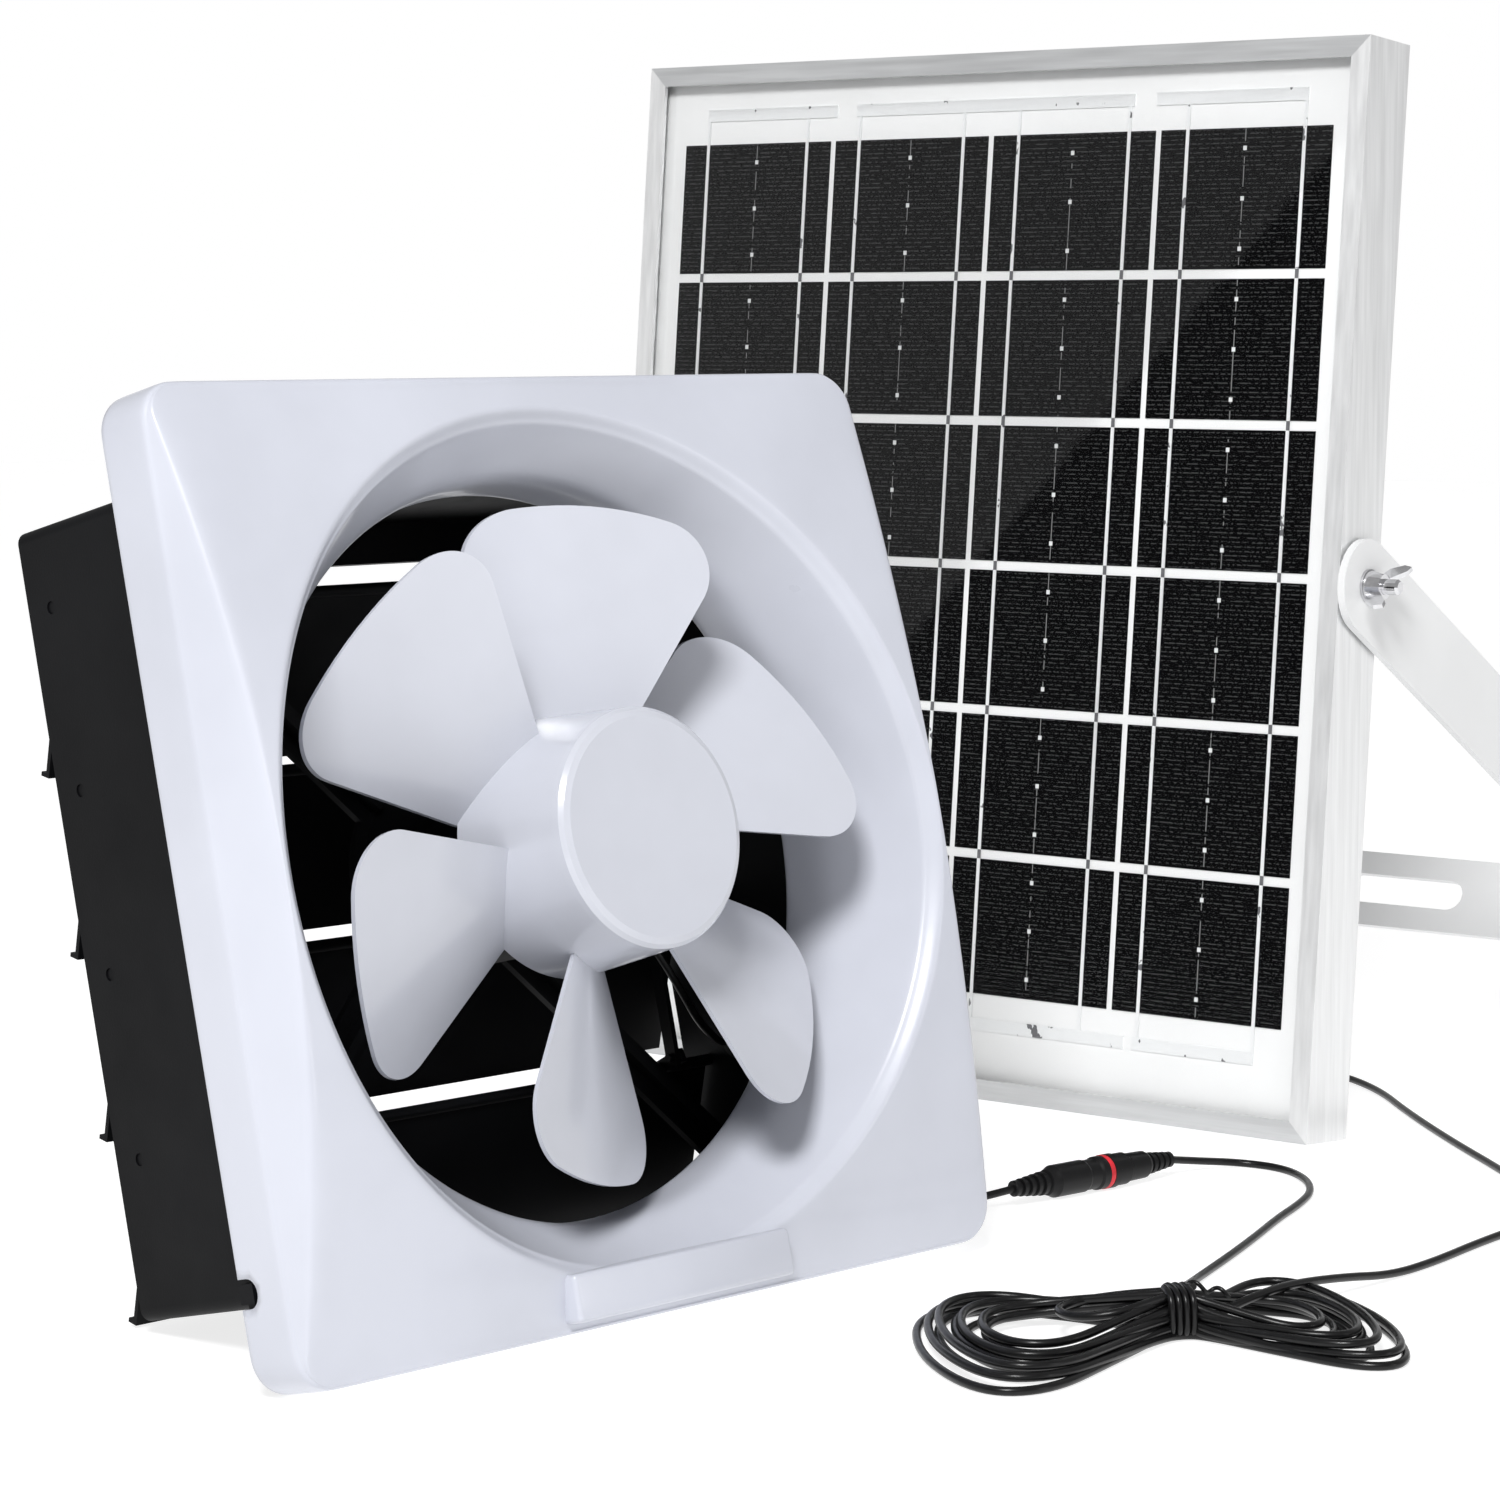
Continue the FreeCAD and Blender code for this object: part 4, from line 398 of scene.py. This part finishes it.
def set_room():
    scene.world = bpy.data.worlds.new("studio")
    scene.world.use_nodes = True
    tree = scene.world.node_tree
    ways = tree.nodes.new("ShaderNodeTexCoord")
    toward = tree.nodes.new("ShaderNodeVectorMath")
    toward.operation = "DOT_PRODUCT"
    toward.inputs[1].default_value = BACKDROP_WAY
    level = tree.nodes.new("ShaderNodeMapRange")
    level.inputs["From Min"].default_value = BACKDROP_EDGE[0]
    level.inputs["From Max"].default_value = BACKDROP_EDGE[1]
    level.inputs["To Min"].default_value = ROOM_LEVEL
    level.inputs["To Max"].default_value = 1.0
    tree.links.new(ways.outputs["Generated"], toward.inputs[0])
    tree.links.new(toward.outputs["Value"], level.inputs["Value"])
    tree.links.new(level.outputs["Result"], tree.nodes["Background"].inputs["Strength"])
    tree.nodes["Background"].inputs["Color"].default_value = (1, 1, 1, 1)


def set_floor():
    corners = [(x * FLOOR_HALF, y * FLOOR_HALF, 0) for x, y in ((-1, -1), (1, -1), (1, 1), (-1, 1))]
    mesh = bpy.data.meshes.new("floor")
    mesh.from_pydata(corners, [], [(0, 1, 2, 3)])
    floor = bpy.data.objects.new("floor", mesh)
    scene.collection.objects.link(floor)
    paint = Paint("floor_white", (FLOOR_GREY, FLOOR_GREY, FLOOR_GREY), 0.6, specular=0.2)
    paint.shader.inputs["Emission Color"].default_value = (1, 1, 1, 1)
    paint.shader.inputs["Emission Strength"].default_value = FLOOR_GLOW
    mesh.materials.append(paint.material)


set_camera()
set_room()
area_light("key", (0.95, -1.75, 1.8), (0.08, -0.1, 0.15), (0.6, 0.6), 52)
area_light("strip", (2.6, 0.5, 0.7), (0.1, -0.1, 0.15), (0.25, 1.2), 3.5)
scene.view_settings.view_transform = "Standard"
set_floor()


# ---------------------------------------------------------------- mesh helpers
def placed_mesh(name, vertices, faces, place):
    """A mesh from points in millimetres, moved to its place, with its faces turned outwards."""
    mesh = bpy.data.meshes.new(name)
    mesh.from_pydata([Vector(v) * MM for v in vertices], [], faces)
    if place is not None:
        mesh.transform(place)
    work = bmesh.new()
    work.from_mesh(mesh)
    bmesh.ops.recalc_face_normals(work, faces=work.faces)
    work.to_mesh(mesh)
    work.free()
    return mesh


def mesh_piece(name, vertices, faces, material, slot, body="kit", place=None, levels=0, angle=None):
    """A smooth-shaded piece from points in millimetres, riding on a body, sharp beyond an angle."""
    mesh = placed_mesh(name, vertices, faces, place)
    mesh.shade_smooth()
    if angle is not None:
        mesh.set_sharp_from_angle(angle=math.radians(angle))
    mesh.materials.append(material)
    piece = bpy.data.objects.new(name, mesh)
    scene.collection.objects.link(piece)
    if levels:
        subdivide = piece.modifiers.new("smooth", "SUBSURF")
        subdivide.levels = subdivide.render_levels = levels
    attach(piece, body)
    return piece


def rings_faces(rings, count, closed):
    """Quads between rings of points, the last ring joined to the first if closed."""
    faces = []
    pairs = rings if closed else rings - 1
    for ring in range(pairs):
        here = ring * count
        there = (ring + 1) % rings * count
        for step in range(count):
            ahead = (step + 1) % count
            faces.append((here + step, here + ahead, there + ahead, there + step))
    return faces


# ---------------------------------------------------------------- cords
CORD = 2.8 * MM
PLUG_START = Vector((142.9, -53.7, 6.4))
PLUG_HEADING = math.radians(78.9)
PLUG_AXIS = Vector((math.cos(PLUG_HEADING), math.sin(PLUG_HEADING), 0))
PLUG_LENGTH = 81.0


def cord_curve(name, points):
    """One smooth line with the given control points, in millimetres, as a round cord."""
    data = bpy.data.curves.new(name, "CURVE")
    data.dimensions = "3D"
    data.resolution_u = 8
    data.bevel_depth = CORD / 2
    data.bevel_resolution = 5
    data.use_fill_caps = True
    line = data.splines.new("NURBS")
    line.points.add(len(points) - 1)
    for point, place in zip(line.points, points):
        point.co = (*(Vector(place) * MM), 1)
    line.order_u = 3
    line.use_endpoint_u = True
    data.materials.append(SHEATH)
    piece = bpy.data.objects.new(name, data)
    scene.collection.objects.link(piece)
    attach(piece, "kit")
    return piece


def fan_point(x, y, z):
    return (FAN @ (Vector((x, y, z)) * MM)) / MM


def panel_point(x, y, z):
    return (PANEL @ (Vector((x, y, z)) * MM)) / MM


FAN_LEAD = [
    fan_point(124.5, -70, -56),
    fan_point(142, -70, -56),
    (82, -98, 50),
    (88, -89, 33),
    (95, -84, 17),
    (105, -81, 6),
    (118, -78, 1.6),
    (131, -71, 2.8),
    (139, -62, 5),
    PLUG_START + PLUG_AXIS,
]

HANK = Matrix.Translation(Vector((292.0, -180.2, 0))) @ Matrix.Rotation(math.radians(48), 4, "Z")
HANK_BEND = 0.0020
TURNS = 9
LOBE_POINTS = 9
WAIST_PITCH = 3.0
# Each lobe's side, then its length and its half width in the first turn and in the last.
LOBES = ((-1, (86, 62), (55, 24)), (1, (66, 46), (52, 17)))
LENGTH_SPREAD = 2.5
WIDTH_SPREAD = 3
SKEW = 0.05
LOBE_PEAK = 0.65
FLOOR_LEVEL = 1.6
WAIST_LEVEL = 1.8
LAYER_PITCH = 2.8
LAYER_SQUEEZE = 0.9


def in_hank(along, across, height):
    return HANK @ Vector((along, across - HANK_BEND * along**2, height))


def hank_points():
    """The turns of the hank, each through the left lobe, the waist, the right lobe and back."""
    dice = random.Random(11)
    points = []
    for turn in range(TURNS):
        share = turn / (TURNS - 1)
        column = (0.5 + (turn % 2)) * WAIST_PITCH
        row = WAIST_LEVEL + WAIST_PITCH * (turn // 2)
        for side, lengths, widths in LOBES:
            length = lengths[0] + (lengths[1] - lengths[0]) * share
            length += dice.uniform(-LENGTH_SPREAD, LENGTH_SPREAD)
            width = widths[0] + (widths[1] - widths[0]) * share
            width += dice.uniform(-WIDTH_SPREAD, WIDTH_SPREAD)
            skew = dice.uniform(-SKEW, SKEW)
            layer = FLOOR_LEVEL + LAYER_PITCH * (turn % 3) * LAYER_SQUEEZE
            for step in range(LOBE_POINTS + 1):
                t = step / (LOBE_POINTS + 1)
                swell = math.sin(math.pi * t) ** 2
                along = side * length * swell
                across = side * width * (math.sin(2 * math.pi * t) + skew) * swell / LOBE_PEAK
                if step == 0:
                    across = side * column
                else:
                    across += (column if across > 0 else -column) * (1 - swell)
                height = row + (layer - row) * min(1, 1.5 * swell)
                points.append(in_hank(along, across, height))
    return points


REAR_ROUTE = [
    panel_point(24, 307, 14),
    panel_point(24, 284, 12),
    (23.8, 142, 250),
    (23.5, 146, 205),
    (23, 154, 150),
    (23, 166, 100),
    (24, 182, 58),
    (28, 204, 24),
    (42, 228, 6),
    (68, 244, 1.5),
    (102, 242, 1.6),
    (136, 220, 1.5),
    (170, 183, 1.6),
    (212, 142, 1.5),
    (256, 102, 1.5),
    (288, 69, 1.6),
    (305, 33, 1.5),
    (305, -9, 1.6),
    (307, -45, 1.5),
    (306, -72, 1.8),
    (304, -100, 6),
    HANK @ Vector((44, 26, 9)),
    HANK @ Vector((27, 11, 9)),
    HANK @ Vector((11, 3, 5)),
]
FRONT_ROUTE = [
    HANK @ Vector((0, -3, 14.2)),
    HANK @ Vector((-9, -6, 13.5)),
    HANK @ Vector((-23, -12, 11)),
    HANK @ Vector((-35, -6, 9)),
    HANK @ Vector((-38, 7, 8.5)),
    HANK @ Vector((-29, 17, 8.5)),
    HANK @ Vector((-15, 13, 11)),
    HANK @ Vector((-4, 8.5, 12.5)),
    HANK @ Vector((4, 11, 12)),
    HANK @ Vector((8, 20, 10)),
    (273, -150, 7),
    (264, -131, 3),
    (256, -108, 1.5),
    (249, -80, 1.6),
    (240, -48, 1.5),
    (231, -18, 1.6),
    (225, 6, 1.5),
    (218, 27, 1.6),
    (205, 46, 1.5),
    (188, 58, 1.5),
    (170, 57, 1.6),
    PLUG_START + PLUG_AXIS * (PLUG_LENGTH + 12) - Vector((0, 0, 2.2)),
    PLUG_START + PLUG_AXIS * (PLUG_LENGTH - 1),
]
lead = cord_curve("lead_cord", FAN_LEAD)
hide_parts("fan_lead")

panel_cord = cord_curve("panel_cord", REAR_ROUTE + hank_points() + FRONT_ROUTE)
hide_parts("panel_cord_rear", "panel_cord_hank", "panel_cord_front")


TUBE_SIDES = 12
TUBE_CREASE = 50


def tube(name, points, radius, material, slot):
    """A round closed-ended tube along a path in millimetres."""
    points = [Vector(point) for point in points]
    vertices, faces = [], []
    side = Vector((0, 0, 1))
    for i, point in enumerate(points):
        ahead = points[min(i + 1, len(points) - 1)] - points[max(i - 1, 0)]
        ahead.normalize()
        side = (side - ahead * side.dot(ahead)).normalized()
        other = ahead.cross(side)
        for k in range(TUBE_SIDES):
            turn = math.tau * k / TUBE_SIDES
            vertices.append(point + (side * math.cos(turn) + other * math.sin(turn)) * radius)
    faces = rings_faces(len(points), TUBE_SIDES, False)
    last = (len(points) - 1) * TUBE_SIDES
    faces += [tuple(range(TUBE_SIDES)), tuple(range(last, last + TUBE_SIDES))]
    return mesh_piece(name, vertices, faces, material, slot, angle=TUBE_CREASE)


TIE_TURNS = 4
TIE_STEPS = 28
TIE_PITCH = 2.35
TIE_RADIUS = 1.15
TIE_HALF = (7.8, 7.2)
TIE_LEVEL = 8.6
END_POINTS = 37
END_RADIUS = 0.7
END_TWIST = 1.1


def make_tie():
    """A wire tie wound round the waist in a squarish coil, its ends twisted into one tail above it."""
    steps = TIE_TURNS * TIE_STEPS
    path = []
    for i in range(steps + 1):
        turn = math.tau * i / TIE_STEPS + math.pi / 2
        x, z = math.cos(turn), math.sin(turn)
        stretch = 1 / (abs(x) ** 3 + abs(z) ** 3) ** (1 / 3)
        along = (i / steps - 0.5) * TIE_TURNS * TIE_PITCH
        across, height = TIE_HALF[0] * x * stretch, TIE_HALF[1] * z * stretch
        path.append(HANK @ Vector((along, across, TIE_LEVEL + height)))
    tie = tube("twist_tie", path, TIE_RADIUS, SHEATH, "cord_black")
    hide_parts("hank_tie")
    ends = []
    for i in range(END_POINTS):
        turn = math.radians(65) * i / 4
        across, height = END_TWIST * math.cos(turn), END_TWIST * math.sin(turn)
        ends.append(HANK @ Vector((4 + 0.35 * i, 2 + across, 16.1 + height - 0.1 * i)))
    tube("twist_tie_end", ends, END_RADIUS, SHEATH, "cord_black")


make_tie()


# ---------------------------------------------------------------- front cover
COVER_CORNER = 13.0
RIM = 22.0
BULGE = 19.0
ARCH_RADIUS = (COVER_HALF**2 + BULGE**2) / (2 * BULGE)
INSET = 8.0
SKIN = 2.5
SIDE_STEPS = 26
CORNER_STEPS = 8
SHOULDER = 139.3
LIP = 134.6
THROAT = 119.2
THROAT_LEVEL = 4
BELL_SPREAD = 15.4
# Radius and height of the rings that turn the throat's rear edge back on itself.
THROAT_EDGE = (
    (118.9, 1.0),
    (118.3, -9.0),
    (118.0, -13.6),
    (119.0, -14.3),
    (120.2, -13.4),
    (121.3, 2.0),
)


def arch(y):
    """Height of the arched face above the cover's rear plane."""
    return RIM + BULGE - ARCH_RADIUS + math.sqrt(ARCH_RADIUS**2 - min(abs(y), COVER_HALF) ** 2)


def face_level(x, y):
    """Height of the face, falling to the rim along the two straight sides."""
    return min(arch(y), RIM + (COVER_HALF - abs(x)) * BULGE / INSET)


def cover_outline():
    """Points of the cover's square outline with their outward normals, quarter by quarter."""
    flat = COVER_HALF - COVER_CORNER
    points = []
    for quarter in range(4):
        turn = Matrix.Rotation(math.radians(90 * quarter), 2)
        for step in range(SIDE_STEPS):
            along = -flat + 2 * flat * step / SIDE_STEPS
            points.append((turn @ Vector((COVER_HALF, along)), turn @ Vector((1, 0))))
        for step in range(CORNER_STEPS):
            angle = math.radians(90 * step / CORNER_STEPS)
            normal = Vector((math.cos(angle), math.sin(angle)))
            points.append((turn @ (Vector((flat, flat)) + normal * COVER_CORNER), turn @ normal))
    return points


def cover_rings():
    """Rings round the cover's section: up its rim, over the face, down the bell and back inside."""
    outline = cover_outline()
    rings = []

    def skirt(inset, level):
        """The outline moved inwards, at one height."""
        rings.append([(*(p - n * inset), level) for p, n in outline])

    def facet(share, inset):
        """A ring part of the way up the slope from the rim to the face."""
        ring = []
        for p, n in outline:
            rise = (arch(p.y) - RIM) / BULGE
            x = p.x - math.copysign(INSET * rise * share * abs(n.x), p.x)
            base = Vector((x, p.y)) - n * inset
            ring.append((base.x, base.y, RIM - 0.25 * inset + (arch(p.y) - RIM) * share))
        rings.append(ring)
        return ring

    def circle(radius, level):
        """A round ring whose height follows a function of its point."""
        ring = []
        for p, n in outline:
            direction = p.normalized()
            here = direction * radius
            ring.append((here.x, here.y, level(here)))
        rings.append(ring)
        return ring

    def between(first, last, share, drop):
        """A ring on the face between two others, or below the face by a drop."""
        ring = []
        for a, b in zip(first, last):
            x, y = (a[i] + (b[i] - a[i]) * share for i in (0, 1))
            ring.append((x, y, face_level(x, y) - drop))
        rings.append(ring)

    def edge_level(drop):
        return lambda here: face_level(here.x, here.y) - drop

    def bell_level(share):
        def level(here):
            lip = here.normalized() * 135
            return THROAT_LEVEL + (face_level(lip.x, lip.y) - 4.4 - THROAT_LEVEL) * share

        return level

    def flat_level(height):
        return lambda here: height

    for inset, level in ((0, 0), (0, 0.7), (0, 12), (0, RIM - 2.4), (0.25, RIM - 0.9)):
        skirt(inset, level)
    for share, inset in ((0.0, 0.9), (0.12, 1.0), (0.5, 1.0), (0.88, 1.0), (1.0, 1.7)):
        top = facet(share, inset)
    shoulder = [(*(p.normalized() * SHOULDER), 0) for p, _ in outline]
    for share in (0.12, 0.32, 0.55, 0.78, 0.93):
        between(top, shoulder, share, 0)
    for radius, drop in ((SHOULDER, 0.05), (138.4, 0.5), (137.0, 2.0), (135.6, 3.7), (LIP, 4.2)):
        circle(radius, edge_level(drop))
    for share in (0.93, 0.75, 0.5, 0.25, 0.08):
        circle(THROAT + BELL_SPREAD * share**0.9, bell_level(share))
    for radius, height in THROAT_EDGE:
        circle(radius, flat_level(height))
    for share in (0.25, 0.75):
        circle(121.6 + BELL_SPREAD * share**0.9, bell_level(share))
    circle(138.2, edge_level(6.5))
    under = circle(140.8, edge_level(3.0))
    inner = [(*(p - n * (SKIN + INSET * abs(n.x) * (arch(p.y) - RIM) / BULGE)), 0) for p, n in outline]
    between(under, inner, 0.5, 2.5)
    between(under, inner, 0.95, 2.7)
    for level in (RIM - 4.5, 0.7, 0):
        skirt(SKIN, level)
    return rings, len(outline)


CAPSULE_STEPS = 12


def bake(piece):
    """Replace a piece's mesh by its result with all modifiers."""
    graph = bpy.context.evaluated_depsgraph_get()
    mesh = bpy.data.meshes.new_from_object(piece.evaluated_get(graph))
    piece.modifiers.clear()
    piece.data = mesh


def cut_with(piece, vertices, faces, place):
    """Cut a closed shape, given in millimetres, out of a piece."""
    cutter = bpy.data.objects.new("cutter", placed_mesh("cutter", vertices, faces, place))
    scene.collection.objects.link(cutter)
    bpy.context.view_layer.update()
    boolean = piece.modifiers.new("cut", "BOOLEAN")
    boolean.object = cutter
    boolean.solver = "EXACT"
    bake(piece)
    bpy.data.objects.remove(cutter)


def capsule(x_low, x_high, y, low, high, radius):
    """A slot shape along x: square at the bottom, half round at the top."""
    section = []
    for step in range(CAPSULE_STEPS + 1):
        angle = math.pi * step / CAPSULE_STEPS
        section.append((y + radius * math.cos(angle), high - radius + radius * math.sin(angle)))
    section += [(y - radius, low), (y + radius, low)]
    count = len(section)
    vertices = [(x, *point) for x in (x_low, x_high) for point in section]
    faces = [tuple(range(count)), tuple(range(2 * count - 1, count - 1, -1))]
    faces += [(i, i + count, (i + 1) % count + count, (i + 1) % count) for i in range(count)]
    return vertices, faces


def rounded_block(low, high, radius):
    """A block with rounded edges, as vertices and faces in millimetres."""
    work = bmesh.new()
    bmesh.ops.create_cube(work, size=1)
    for vertex in work.verts:
        vertex.co = Vector([(a + b) / 2 + c * (b - a) for a, b, c in zip(low, high, vertex.co)])
    bmesh.ops.bevel(work, geom=work.edges[:], offset=radius, segments=3, affect="EDGES", profile=0.5)
    vertices = [tuple(v.co) for v in work.verts]
    faces = [tuple(v.index for v in f.verts) for f in work.faces]
    work.free()
    return vertices, faces


def make_cover():
    """The arched cover with its bell mouth, two side notches and foot pad."""
    rings, count = cover_rings()
    vertices = [point for ring in rings for point in ring]
    faces = rings_faces(len(rings), count, True)
    cover = mesh_piece("cover_shell", vertices, faces, WHITE, "cover_white", place=FAN, levels=1)
    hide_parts("front_cover")
    for side in (-1, 1):
        low, high = sorted((side * 144, side * 153))
        cut_with(cover, *capsule(low, high, -118.5, -3, 9, 4.5), FAN)
    pad = rounded_block((-47, -146.5, 17), (47, -131.5, 30.5), 1.6)
    mesh_piece("cover_pad", *pad, WHITE, "cover_white", place=FAN)


make_cover()
